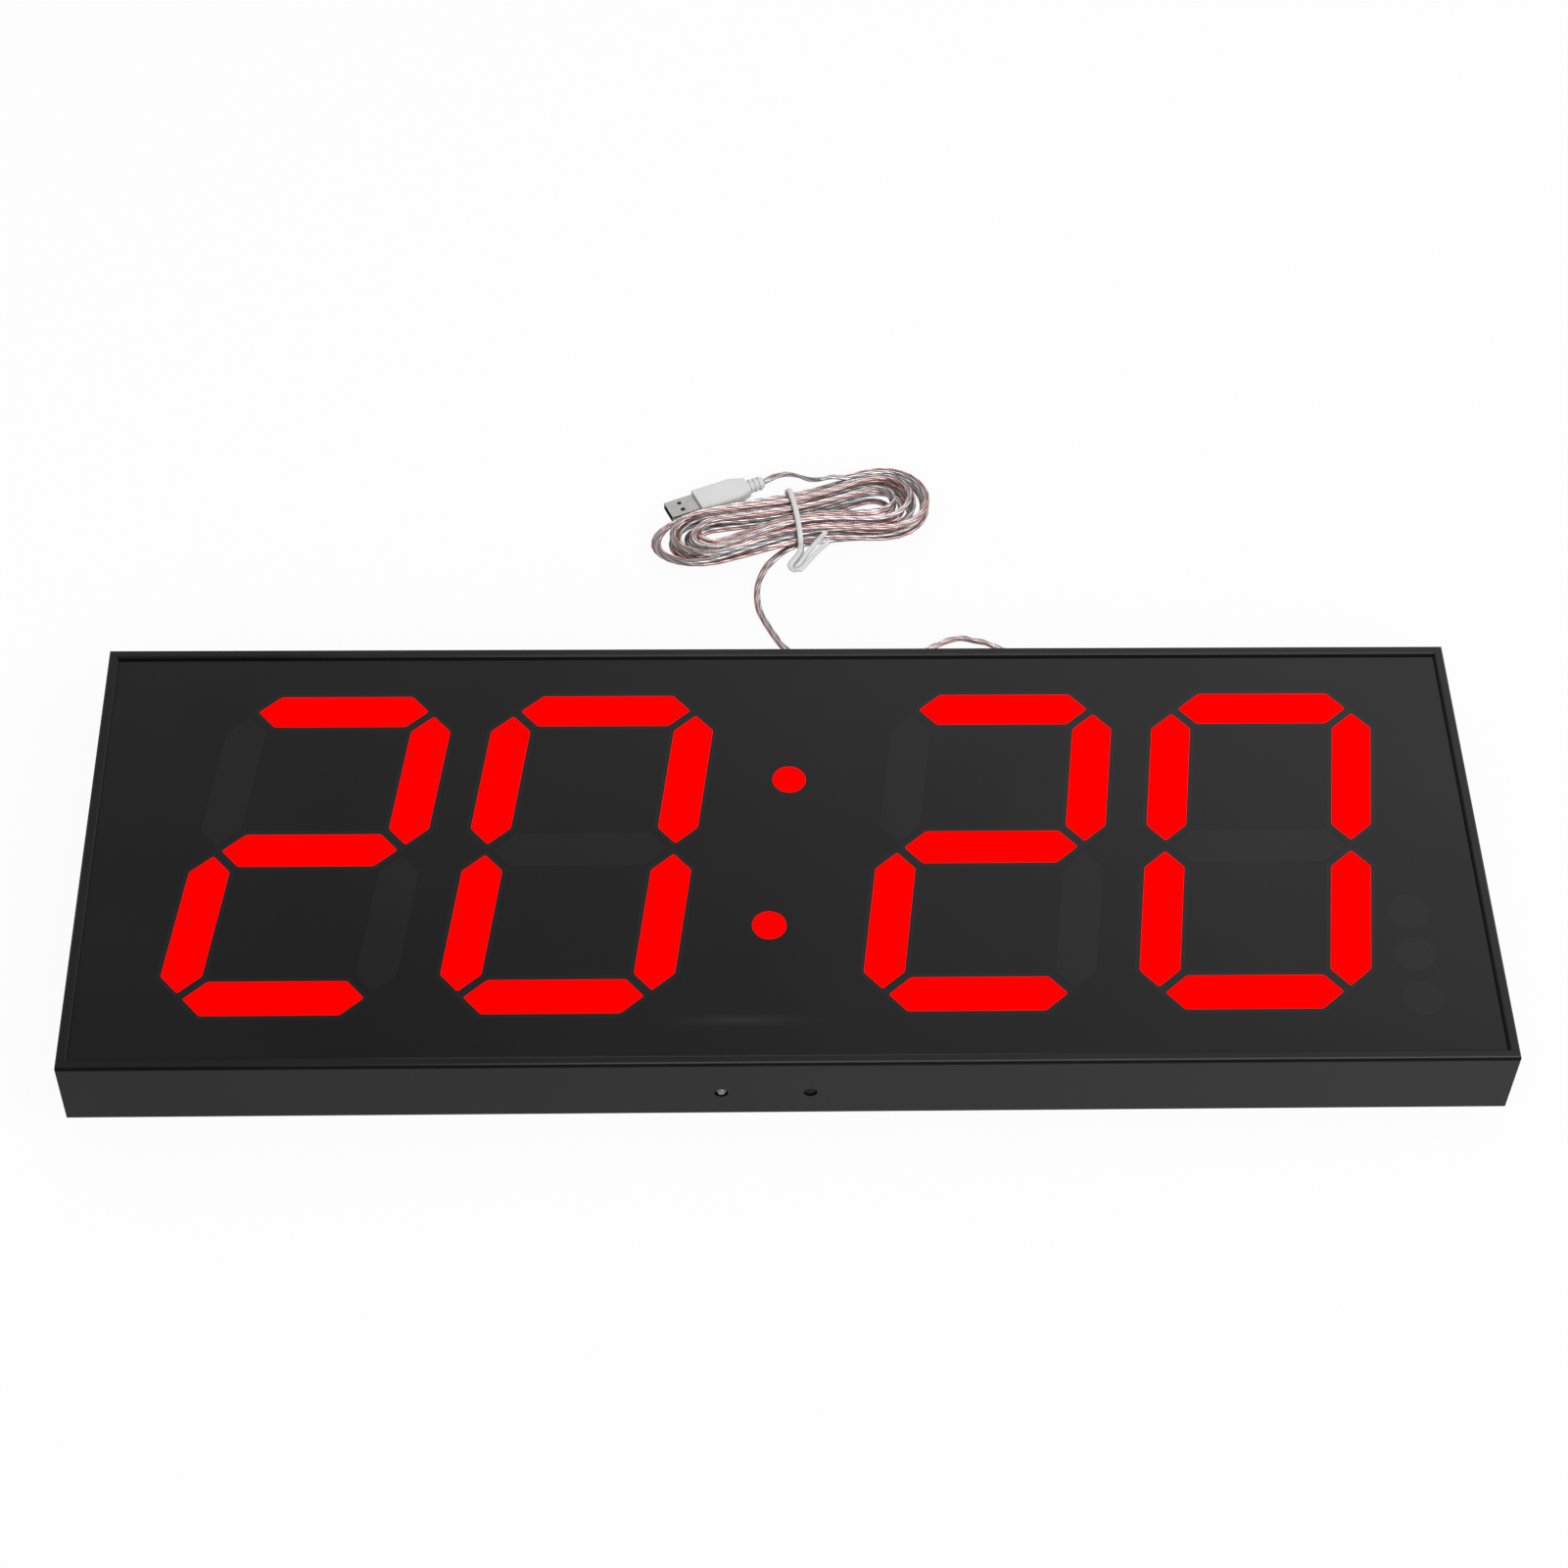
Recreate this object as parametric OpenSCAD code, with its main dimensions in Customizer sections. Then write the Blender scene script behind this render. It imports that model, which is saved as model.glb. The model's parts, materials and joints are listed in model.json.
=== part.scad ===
// Gym round timer: a mitred aluminium casing, four leaning seven-segment digits behind smoked acrylic,
// and a clear flat power lead that is tied in a hank behind the casing.
// The timer lies on its back. Millimetres: +X to the right, +Y to the top of the digits,
// +Z out of the display.

/* [Digits] */
// Four digits that the display shows, left to right
shown = [2, 0, 2, 0]; // [0:1:9]
// Distance between a digit's left and right upright segments, centre to centre
digit_w = 94; // [70:1:130]
// Distance between a digit's top and bottom segments, centre to centre
digit_h = 180; // [150:1:230]
// Width of one segment
seg_w = 20; // [14:0.5:26]
// Distance from a segment's tip to the corner that it points at
tip_setback = 3.4; // [2:0.1:6]
// Lean of the digits to the right, in degrees
slant = 7.5; // [0:0.5:12]
// Clear width between the two digits of a pair
digit_gap = 21; // [16:1:40]
// Clear width between the two pairs, where the colon stands
colon_gap = 92; // [84:1:140]
// Diameter of a colon dot
colon_d = 17; // [12:0.5:22]
// Height of a colon dot above or below the middle
colon_rise = 46; // [36:1:60]
// Diameter of a round indicator
indicator_d = 20; // [14:0.5:21.5]
// Distance between the round indicators, centre to centre
indicator_pitch = 26; // [25:0.5:30]
// Distance of the indicators to the right of the last digit, at the height of the uppermost indicator
indicator_offset = 18.5; // [16:0.5:28]
// Height of the middle indicator above the foot of the digits
indicator_rise = 32; // [26:1:60]

/* [Casing] */
// Distance from the outer digits to the casing's left and right sides
side_margin = 55; // [45:1:90]
// Distance from the digits to the casing's top and bottom sides
top_margin = 31; // [26:1:60]
// Wall of a casing rail
wall = 1.6; // [1.2:0.1:2.5]
// Width of the lip round the front panel
lip_w = 5; // [4:0.5:8]
// Height of the lip over the front panel
lip_t = 2.2; // [1.5:0.1:3]
// Bevel on the lip's outer and inner edges
lip_bevel = 0.8; // [0.3:0.1:1]
// Reach of the channel at the back of a rail
channel_reach = 12; // [10:0.5:16]
// Clear height of the channel that takes the corner keys
channel_h = 7.6; // [6:0.2:9]
// Thickness of a rail's ribs and hooks
rib_t = 1.4; // [1:0.1:2]
// Depth of the hooks that hold a corner key in its channel
hook_h = 1.6; // [1:0.1:2]
// Length of a corner key's leg
key_leg = 40; // [30:1:55]
// Diameter of a corner key's set screw
set_screw_d = 4; // [3:0.5:5]

/* [Front] */
// Thickness of the smoked front panel
panel_t = 3; // [2:0.5:5]
// Air between the lenses and the front panel
panel_air = 0.3; // [0.1:0.1:1]
// Thickness of the lenses and of the mask round them
lens_t = 2; // [1:0.5:3]
// Margin of a lens that sits on its reflector
lens_land = 1.2; // [0.6:0.1:2]
// Height of the reflectors
reflector_h = 21; // [14:0.5:30]
// Wall of a reflector
reflector_wall = 2; // [1.2:0.1:2.5]

/* [Back] */
// Thickness of the back panel
back_t = 2; // [1.5:0.1:3]
// Depth of the back panel's face inside the rails
back_recess = 0.4; // [0.2:0.1:1.5]
// Distance between the two keyholes
keyhole_pitch = 400; // [300:1:500]
// Distance of the keyholes' round entries from the casing's top
keyhole_drop = 71; // [59:1:110]
// Diameter of a keyhole's round entry
keyhole_d = 9; // [7:0.5:12]
// Width of a keyhole's slot
keyhole_slot = 4.6; // [3.5:0.1:6]
// Length of a keyhole's slot, from the entry's centre to the slot's end
keyhole_len = 14; // [10:0.5:20]
// Thickness of the steel plate behind a keyhole
hanger_t = 1.5; // [1:0.1:2.5]
// Thread diameter of the back screws
back_screw_d = 2.9; // [2.2:0.1:3.5]
// Number of back screws along the top and along the bottom
back_screws_long = 5; // [3:1:8]
// Distance of the outer back screws from the casing's corners
back_screw_inset = 70; // [60:1:100]

/* [Boards] */
// Thickness of the circuit boards
board_t = 1.6; // [1:0.1:2.4]
// Height of the standoffs under the boards
standoff_h = 10; // [8:0.5:16]
// Diameter of a standoff
standoff_d = 6; // [5:0.5:7]
// Thread diameter of the board screws
board_screw_d = 3; // [2:0.5:3.5]
// Side of a light-emitting chip
led_side = 5; // [2.8:0.1:6]
// Diameter of the backup cell
cell_d = 20; // [12:0.5:24]
// Thickness of the backup cell
cell_t = 3.2; // [2:0.1:5]
// Diameter of the buzzer
buzzer_d = 14; // [9:0.5:18]
// Height of the buzzer
buzzer_h = 9; // [5:0.5:14]

/* [Sensors] */
// Diameter of the two sensor holes in the bottom rail
sensor_hole_d = 6.6; // [5:0.1:8.4]
// Height of the sensor holes above the rail's channel
sensor_rise = 4.2; // [3.4:0.1:9]
// Sideways place of the light sensor
light_x = -34; // [-60:1:-20]
// Sideways place of the remote-control receiver
receiver_x = 9; // [0:1:40]
// Distance of the sensor board from the bottom rail's outer face
sensor_board_in = 8; // [7:0.5:9]

/* [Lead] */
// Width of the flat twin lead
cord_w = 3.8; // [3:0.1:4.4]
// Thickness of the flat twin lead
cord_t = 2; // [1.4:0.1:2.4]
// Diameter of the tie round the hank
tie_d = 2.4; // [1.6:0.1:3]
// Diameter of the hole for the grommet
grommet_d = 9; // [8:0.5:11]

/* [Plug] */
// Width of the plug's metal shell
shell_w = 12; // [11.5:0.1:12.5]
// Thickness of the plug's metal shell
shell_h = 4.5; // [4:0.1:5]
// Length of the shell that stands out of the grip
shell_l = 17.5; // [15:0.5:19]
// Wall of the metal shell
shell_wall = 0.4; // [0.3:0.05:0.5]
// Width of the plug's grip
grip_w = 16; // [14:0.5:17]
// Thickness of the plug's grip
grip_h = 8; // [7:0.5:10]
// Length of the plug's grip
grip_l = 31; // [24:0.5:38]
// Length of the ribbed strain relief
relief_l = 9.5; // [7:0.5:14]

/* [Hidden] */
$fn = 48;
eps = 0.01;
// How far a cut runs past the face that it opens
over = 1;

// Display layout
lean = tan(slant);
digit_outer_w = digit_w + seg_w;
digit_outer_h = digit_h + seg_w;
digit_pitch = digit_outer_w + digit_gap;
pair_x = (digit_outer_w + colon_gap + digit_pitch) / 2;
DIGIT_X = [for (side = [-1, 1]) for (step = [-1, 1]) side * pair_x + step * digit_pitch / 2];
digits_half_w = pair_x + digit_pitch / 2 + digit_outer_w / 2;
lean_at_top = lean * digit_outer_h / 2;
indicator_y = indicator_rise - digit_outer_h / 2;
indicator_x = digits_half_w + lean * (indicator_y + indicator_pitch) + indicator_offset;
INDICATORS = [for (step = [-1:1]) [indicator_x, indicator_y + step * indicator_pitch]];
colon_shift = [-3.5, -2];
COLON = [for (side = [-1, 1]) colon_shift + side * colon_rise * [lean, 1]];
DOTS = [for (p = COLON) [p[0], p[1], colon_d], for (p = INDICATORS) [p[0], p[1], indicator_d]];

// Segments in the order a to g: centre of each, and whether it lies level
SEGMENTS = [
    [0, digit_h / 2, true],
    [digit_w / 2, digit_h / 4, false],
    [digit_w / 2, -digit_h / 4, false],
    [0, -digit_h / 2, true],
    [-digit_w / 2, -digit_h / 4, false],
    [-digit_w / 2, digit_h / 4, false],
    [0, 0, true]
];
GLYPHS = ["abcdef", "bc", "abdeg", "abcdg", "bcfg", "acdfg", "acdefg", "abc", "abcdefg", "abcdfg"];
LETTERS = "abcdefg";

// Levels, from the floor up
back_top = back_recess + back_t;
channel_z = back_top + rib_t;
channel_top = channel_z + channel_h;
rib_top = channel_top + rib_t;
board_z = back_top + standoff_h;
board_top = board_z + board_t;
lens_z = board_top + reflector_h;
panel_z = lens_z + lens_t + panel_air;
panel_top = panel_z + panel_t;
casing_t = panel_top + lip_t;

// Casing
casing_w = 2 * (digits_half_w + side_margin);
casing_h = digit_outer_h + 2 * top_margin;
top_y = casing_h / 2;
keyhole_y = top_y - keyhole_drop;
key_w = channel_reach - rib_t - wall;
set_screw_in = 10;
panel_edge_air = 1;
back_edge_air = 0.5;
mask_edge_air = 1;
aperture_air = 0.15;
back_screw_in = (wall + channel_reach - rib_t) / 2;
back_head_d = 2 * back_screw_d;
back_screw_l = 6;
rivet_d = 3.2;
rivet_head_d = 6;
rivet_head_h = 1;
hanger_margin = 9;

// Boards
board_rim = 1;
board_air = 2;
board_half_h = digit_outer_h / 2 + reflector_wall + board_rim;
hole_y = board_half_h - standoff_d / 2 - board_rim;
hole_room = reflector_wall + standoff_d + 2 * board_rim - lean * hole_y;
board_side = max(lean_at_top + reflector_wall + board_rim, hole_room);
pair_board_in = pair_x - digit_pitch / 2 - digit_outer_w / 2 - board_side;
control_half_w = pair_board_in - board_air;
left_board_out = digits_half_w + board_side;
right_board_out = max(left_board_out, indicator_x + indicator_d / 2 + reflector_wall + board_rim);
corner_hole_x = digit_pitch / 2 + digit_outer_w / 2 + hole_room - standoff_d / 2 - board_rim;
control_hole_x = control_half_w - standoff_d / 2 - board_rim;
screw_head_d = 1.8 * board_screw_d;
screw_head_h = 2;
led_h = 1.6;
leds_per_segment = 3;
link_h = 5;
link_l = 24;
link_reach = 6;
chip_h = 1.6;
controller_side = 12;
controller_y = 8;
clock_size = [5, 8];
clock_y = -14;
driver_size = [6, 10];
driver_x = control_half_w - driver_size[0] - board_rim;
DRIVER_Y = [hole_y - 33, hole_y - 17];
holder_wall = 1.5;
holder_floor = 1;
cell_y = -hole_y + standoff_d + cell_d / 2;
buzzer_y = colon_rise + colon_d / 2 + reflector_wall + buzzer_d / 2 + board_rim;
socket_size = [10, 8, 7];
socket_y = board_half_h - socket_size[1] / 2 - board_rim;

// Sensors
sensor_z = rib_top + sensor_rise;
sensor_board_h = 14;
sensor_board_margin = 16;
sensor_hole_air = 0.3;
sensor_d = sensor_hole_d - 2 * sensor_hole_air;
light_dome_h = sensor_d / 3;
receiver_block = 7;
receiver_depth = 5;
receiver_sink = 1.2;
probe_d = 3;
probe_l = 4;
probe_x = (light_x + receiver_x) / 2;
ribbon_w = 10;
ribbon_t = 0.8;
ribbon_land = 8;

// Grommet and the lead where it passes
grommet_x = 140;
grommet_flange = 1.5;
grommet_step = 1.5;
grommet_air = 1.2;
grommet_z = rib_top + grommet_d / 2 + grommet_step + grommet_air;
cord_air = 0.3;
cord_mid_y = top_y - wall / 2;

// Flat lead inside the casing, from the power socket to the middle of the grommet
socket_end = socket_y + socket_size[1] / 2;
socket_z = board_top + socket_size[2] / 2;
INNER_ROUTE = [
    [0, socket_end, socket_z], [0, socket_end + 4, socket_z],
    [3, top_y - 19, blend([socket_z, grommet_z], 0.2)],
    [11, top_y - 14.5, blend([socket_z, grommet_z], 0.6)], for (x = [24:20:104]) [x, top_y - 13, grommet_z],
    [120, top_y - 13, grommet_z], [131, top_y - 11.5, grommet_z], [138, top_y - 7.5, grommet_z],
    [grommet_x, top_y - 4, grommet_z], [grommet_x, cord_mid_y, grommet_z]
];

// Hank: the bundle's middle and tilt, then the reach, depth and waist of its outermost loop
hank_at = [11.5, top_y + 125.5];
hank_tilt = 14;
hank_reach = [79.6, 76.5];
hank_depth = [19.3, 32];
hank_waist = 16;
reach_step = [10.6, 9.4];
depth_step = [4.7, 9.5];
waist_step = 6.25;
hank_pinch = 4;
hank_taper = 1.6;
hank_wander = 2.6;
layers = 4;
layer_air = 1;
floor_air = 0.1;
rings_per_turn = 24;
turns_per_layer = 2.25;
climb_turns = 0.5;
layer_turns = turns_per_layer + climb_turns;
tail_turns_early = 0.07;
hank_turns = layers * layer_turns - climb_turns - tail_turns_early;
layer_pitch = cord_t + layer_air;

// Free stretches of lead on the floor: out of the grommet to the hank, and from the hank to the plug
rest_z = cord_t / 2 + floor_air;
LEAD_ROUTE = [
    [grommet_x, cord_mid_y, grommet_z], [grommet_x, top_y + 7, grommet_z], [138.9, top_y + 13, 18.4],
    [135.6, top_y + 18.6, 14.2], [130.4, top_y + 23.6, 9.4], [124.8, top_y + 28.4, 5.8],
    [119.4, top_y + 33.6, 3.4], [114, top_y + 38.2, 2.1], [107.4, top_y + 40.5, 1.4],
    [99.8, top_y + 42.6, rest_z], [91.2, top_y + 40, rest_z], [81, top_y + 34, rest_z], [69, top_y + 28, rest_z],
    [55, top_y + 24.5, rest_z], [40, top_y + 23.5, rest_z], [25, top_y + 24.5, rest_z],
    [13, top_y + 29, rest_z], [4, top_y + 36, rest_z], [-1, top_y + 44.5, rest_z], [-5.5, top_y + 54, rest_z],
    [-9, top_y + 63.5, rest_z], [-10, top_y + 73, rest_z], [-9.2, top_y + 82, rest_z],
    [-6, top_y + 91.7, rest_z], [-1, top_y + 100, rest_z], [5.5, top_y + 106, 2.2]
];
TAIL_ROUTE = [
    [34, top_y + 153.8, 11.5], [27, top_y + 151.8, 11.3], [20.5, top_y + 154.2, 8.8],
    [14.3, top_y + 159.6, 6.2], [8.8, top_y + 162.4, 5], [3.5, top_y + 162.2, 4.4], [-1.2, top_y + 160, 4]
];

// Tie: from one tail's tip, under and round the hank's waist, to the other tail's tip, in the hank's own axes
tie_air = 0.4;
tie_low = tie_d / 2;
tie_high = rest_z + (layers - 1) * layer_pitch + cord_t / 2 + 1.5 * tie_d + tie_air;
tie_side = hank_waist + cord_w / 2 + tie_d / 2 + 1;
TIE_ROUTE = [
    [12.5, -21, tie_high + 1], [6, -23, 10.5], [-0.5, -26.5, 6], [-5, -30, 3.6], [-7.5, -30.3, 2],
    [-5, -26, tie_low], [-1.5, -21, tie_low], [1, -10, tie_low], [1.6, 0, tie_low], [1.6, 8, tie_low],
    [1.6, tie_side - 2, tie_low + 0.4], [1.6, tie_side, 5], [1.6, tie_side, tie_high / 2],
    [1.6, tie_side - 1, tie_high - 4], [1.5, tie_side - 6, tie_high], [1, 2, tie_high + 0.2],
    [-0.2, -8, tie_high + 0.2], [-1.4, 4 - tie_side, tie_high], [-1.8, -tie_side, tie_high - 4],
    [-2, -tie_side - 0.6, tie_high / 2], [-3, -tie_side - 2.6, 4.8], [-7, -26, 3.8], [-10.2, -29, 3.2],
    [-9.5, -33, 3], [-6, -34, 3.6], [-1.5, -31.5, 5], [5, -28.5, 9], [12.5, -26, 13]
];

// Plug: the joint between shell and grip, and the heading of its strain relief
plug_at = [-42.4, top_y + 140.8];
plug_turn = 24;
plug_z = grip_h / 2;
grip_round = 2;
grip_tail_w = 11;
grip_tail_l = 9;
grip_tail_h = grip_h - 1;
relief_d = 7.8;
relief_end_d = 6.2;
relief_ribs = 3;
tongue_t = 2;
tongue_gap = 0.25;
contact_w = 1.2;
contact_t = 0.3;
contact_pitch = 2.4;
contact_inset = 1;
shell_hole = [2.4, 2.2];
shell_hole_pitch = 5.1;
shell_hole_in = 6.5;

// Colours that the photograph shows
black_anodised = "#333335";
smoked = "#1c1c1e";
lit_red = "#ff0000";
unlit_grey = "#2b2b2d";
matt_black = "#161617";
bright_steel = "#b9b7b4";
zinc = "#8d8f92";
white_plastic = "#ededeb";
board_green = "#1d4a30";
chip_black = "#202022";
copper_pink = "#d9a598";
gold = "#d3a94a";
sensor_grey = "#c9c7c3";
probe_brown = "#2f2a26";
ribbon_grey = "#bdbdbb";

// Geometry helpers
function leaned(p) = [p[0] + p[1] * lean, p[1]];

function segment_outline(seg, inset) =
    let (half_w = seg_w / 2 - inset)
    let (span = seg[2] ? digit_w / 2 : digit_h / 4)
    let (tip = span - tip_setback - inset * sqrt(2))
    let (flat_end = tip - half_w)
    let (upper = [[-tip, 0], [-flat_end, half_w], [flat_end, half_w]])
    [for (p = concat(upper, -upper)) leaned([seg[0], seg[1]] + (seg[2] ? p : [p[1], p[0]]))];

function counter_outline(mid_y) =
    let (half = [(digit_w - seg_w) / 2, digit_h / 4 - seg_w / 2] - [reflector_wall, reflector_wall])
    [for (s = [[-1, -1], [1, -1], [1, 1], [-1, 1]]) leaned([s[0] * half[0], mid_y + s[1] * half[1]])];

function is_lit(place, index) = len(search(LETTERS[index], GLYPHS[shown[place]])) > 0;

function pair_holes(side) = [
    [side * pair_x + lean * hole_y, hole_y],
    [side * pair_x - lean * hole_y, -hole_y],
    [side * pair_x - corner_hole_x, hole_y],
    [side * pair_x + corner_hole_x, -hole_y]
];
CONTROL_HOLES = [for (sx = [-1, 1]) for (sy = [-1, 1]) [sx * control_hole_x, sy * hole_y]];
BOARD_HOLES = concat(pair_holes(-1), pair_holes(1), CONTROL_HOLES);

function even(first, last, count) = [for (k = [0:count - 1]) first + (last - first) * k / (count - 1)];

back_screw_x = casing_w / 2 - back_screw_inset;
back_screw_y = top_y - back_screw_in;
BACK_SCREWS = [
    for (x = even(-back_screw_x, back_screw_x, back_screws_long)) for (sy = [-1, 1]) [x, sy * back_screw_y],
    for (sx = [-1, 1]) [sx * (casing_w / 2 - back_screw_in), 0]
];
RIVETS = [for (sx = [-1, 1]) for (dx = [-1, 1])
    [sx * keyhole_pitch / 2 + dx * (keyhole_d / 2 + hanger_margin / 2 + rivet_d / 2), keyhole_y]];

// Swept tubes: a flat oval section that keeps its width level, and a round one
function unit(v) = v / norm(v);

function spline(a, b, c, d, t) =
    0.5 * (2 * b + (c - a) * t + (2 * a - 5 * b + 4 * c - d) * t * t + (3 * b - a - 3 * c + d) * t * t * t);

function smooth(p, parts) = let (last = len(p) - 1) [
    for (i = [0:last - 1]) for (k = [0:parts - 1]) spline(
        i > 0 ? p[i - 1] : 2 * p[0] - p[1], p[i], p[i + 1],
        i < last - 1 ? p[i + 2] : 2 * p[last] - p[last - 1], k / parts),
    p[last]
];

function headings(p, first, last) = let (n = len(p) - 1)
    [for (i = [0:n]) i == 0 ? first : i == n ? last : unit(p[i + 1] - p[i - 1])];

function oval_ring(p, heading, upright, size, sides) =
    let (across = unit(cross(heading, upright)))
    let (upward = cross(across, heading))
    [for (k = [0:sides - 1]) let (a = 360 * (k + 0.5) / sides)
        p + across * size[0] / 2 * cos(a) + upward * size[1] / 2 * sin(a)];

module sweep(points, first, last, size, sides, upright = [0, 0, 1]) {
    turns = headings(points, first, last);
    rings = len(points);
    corners = [for (i = [0:rings - 1]) each oval_ring(points[i], turns[i], upright, size, sides)];
    skin = [for (i = [0:rings - 2]) for (k = [0:sides - 1])
        let (a = i * sides + k, b = i * sides + (k + 1) % sides)
        each [[a, b, b + sides], [a, b + sides, a + sides]]];
    end = (rings - 1) * sides;
    caps = [for (k = [1:sides - 2]) each [[0, k + 1, k], [end, end + k, end + k + 1]]];
    polyhedron(corners, concat(skin, caps));
}

// Hank: every layer spirals in or out, and the lead climbs a layer where the spiral turns back
function layer_of(turn) = min(layers - 1, floor(turn / layer_turns));
function in_layer(turn) = turn - layer_of(turn) * layer_turns;
function winding(turn) =
    let (wound = min(in_layer(turn), turns_per_layer))
    layer_of(turn) % 2 == 0 ? wound : turns_per_layer - wound;
function height_in_layers(turn) = layer_of(turn) + max(0, in_layer(turn) - turns_per_layer) / climb_turns;
function blend(pair, share) = pair[0] + (pair[1] - pair[0]) * share;

function on_floor(p) = [
    hank_at[0] + p[0] * cos(hank_tilt) - p[1] * sin(hank_tilt),
    hank_at[1] + p[0] * sin(hank_tilt) + p[1] * cos(hank_tilt),
    p[2]
];

function hank_point(turn) =
    let (angle = 360 * turn - 90)
    let (right = (1 + cos(angle)) / 2)
    let (wound = winding(turn))
    let (lobe = pow(cos(angle), 2))
    let (reach = blend(hank_reach - wound * reach_step, right) + hank_wander * sin(320 * turn))
    let (depth = blend(hank_depth - wound * depth_step, right))
    let (waist = hank_waist - wound * waist_step)
    let (end = min(1, reach * (1 - abs(cos(angle))) / (hank_taper * depth)))
    let (side = sign(sin(angle)) * sqrt(end * (2 - end)))
    let (y = side * (waist + (depth - waist) * (1 - pow(sin(angle), hank_pinch))))
    let (drift = lobe * hank_wander * sin(240 * turn))
    let (lift = tie_d * pow(sin(angle), 6))
    on_floor([reach * cos(angle), y + drift, rest_z + layer_pitch * height_in_layers(turn) + lift]);

function flat_heading(a, b) = unit([b[0] - a[0], b[1] - a[1], 0]);
HANK_LOOPS = [for (i = [0:round(hank_turns * rings_per_turn)]) hank_point(i / rings_per_turn)];
hank_last = len(HANK_LOOPS) - 1;
hank_in = flat_heading(HANK_LOOPS[0], HANK_LOOPS[1]);
hank_out = flat_heading(HANK_LOOPS[hank_last - 1], HANK_LOOPS[hank_last]);
hank_start = HANK_LOOPS[0] - cord_w * hank_in;
hank_end = HANK_LOOPS[hank_last] + cord_w * hank_out;
HANK_ROUTE = concat([hank_start], HANK_LOOPS, [hank_end]);

// Least clear gap between two strands of the hank, over points at least half a turn apart
strand_gaps = [for (i = [0:hank_last]) for (j = [i + rings_per_turn / 2:1:hank_last])
    let (step = HANK_LOOPS[j] - HANK_LOOPS[i])
    max(norm([step[0], step[1]]) - cord_w, abs(step[2]) - cord_t)];
echo(least_hank_gap = min(strand_gaps));

function route_length(p, i = 0, sum = 0) =
    i >= len(p) - 1 ? sum : route_length(p, i + 1, sum + norm(p[i + 1] - p[i]));
echo(hank_length = route_length(HANK_ROUTE));

relief_heading = [cos(plug_turn), sin(plug_turn), 0];
relief_end = [plug_at[0], plug_at[1], plug_z] + (grip_l + relief_l) * relief_heading;

module on_plug() {
    translate([plug_at[0], plug_at[1], plug_z]) rotate(plug_turn) children();
}

// Casing
module rail_outline() {
    in = channel_reach;
    hook = channel_reach - rib_t;
    polygon([
        [0, 0], [0, casing_t - lip_bevel], [lip_bevel, casing_t], [lip_w - lip_bevel, casing_t],
        [lip_w, casing_t - lip_bevel], [lip_w, panel_top], [wall, panel_top], [wall, panel_z],
        [lip_w, panel_z],
        [lip_w, panel_z - rib_t], [wall, panel_z - rib_t], [wall, rib_top], [in, rib_top],
        [in, channel_top - hook_h], [hook, channel_top - hook_h], [hook, channel_top], [wall, channel_top],
        [wall, channel_z], [hook, channel_z], [hook, channel_z + hook_h], [in, channel_z + hook_h],
        [in, back_top], [wall, back_top], [wall, 0]
    ]);
}

module rail(length) {
    mitre = channel_reach + over;
    intersection() {
        rotate([90, 0, 90]) linear_extrude(length, center = true) rail_outline();
        translate([0, 0, -over]) linear_extrude(casing_t + 2 * over) polygon([
            [-length / 2, 0], [length / 2, 0], [length / 2 - mitre, mitre], [mitre - length / 2, mitre]
        ]);
    }
}

module bore_along_y(x, y, z, d, l) {
    translate([x, y, z]) rotate([-90, 0, 0]) cylinder(d = d, h = l);
}

module back_screw_holes() {
    for (p = BACK_SCREWS) translate([p[0], p[1], back_recess]) cylinder(d = back_screw_d, h = back_screw_l);
}

module top_rail() {
    color(black_anodised) difference() {
        translate([0, top_y, 0]) rotate(180) rail(casing_w);
        bore_along_y(grommet_x, top_y - 2 * wall, grommet_z, grommet_d, 3 * wall);
        back_screw_holes();
    }
}

module bottom_rail() {
    color(black_anodised) difference() {
        translate([0, -top_y, 0]) rail(casing_w);
        for (x = [light_x, receiver_x])
            bore_along_y(x, -top_y - wall, sensor_z, sensor_hole_d, 3 * wall);
        back_screw_holes();
    }
}

module left_rail() {
    color(black_anodised) difference() {
        translate([-casing_w / 2, 0, 0]) rotate(-90) rail(casing_h);
        back_screw_holes();
    }
}

module right_rail() {
    color(black_anodised) difference() {
        translate([casing_w / 2, 0, 0]) rotate(90) rail(casing_h);
        back_screw_holes();
    }
}

module at_corners() {
    for (sx = [0, 1]) for (sy = [0, 1])
        mirror([sx, 0, 0]) mirror([0, sy, 0]) translate([-casing_w / 2, -top_y, channel_z]) children();
}

module set_screw_set() {
    at = wall + key_leg - set_screw_in;
    bore_along_y(at, wall, channel_h / 2, set_screw_d, key_w);
    translate([wall, at, channel_h / 2]) rotate([0, 90, 0]) cylinder(d = set_screw_d, h = key_w);
}

module corner_keys() {
    color(zinc) at_corners() difference() {
        union() {
            translate([wall, wall, 0]) cube([key_leg, key_w, channel_h]);
            translate([wall, wall, 0]) cube([key_w, key_leg, channel_h]);
        }
        set_screw_set();
    }
}

module corner_set_screws() {
    color(bright_steel) at_corners() set_screw_set();
}

module keyhole() {
    depth = 2 * (back_t + hanger_t);
    cylinder(d = keyhole_d, h = depth, center = true);
    translate([-keyhole_slot / 2, 0, -depth / 2]) cube([keyhole_slot, keyhole_len, depth]);
    translate([0, keyhole_len, 0]) cylinder(d = keyhole_slot, h = depth, center = true);
}

module keyholes() {
    for (sx = [-1, 1]) translate([sx * keyhole_pitch / 2, keyhole_y, back_top]) keyhole();
}

module rivet_shanks() {
    for (p = RIVETS) translate([p[0], p[1], back_recess]) cylinder(d = rivet_d, h = back_t + hanger_t);
}

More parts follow.
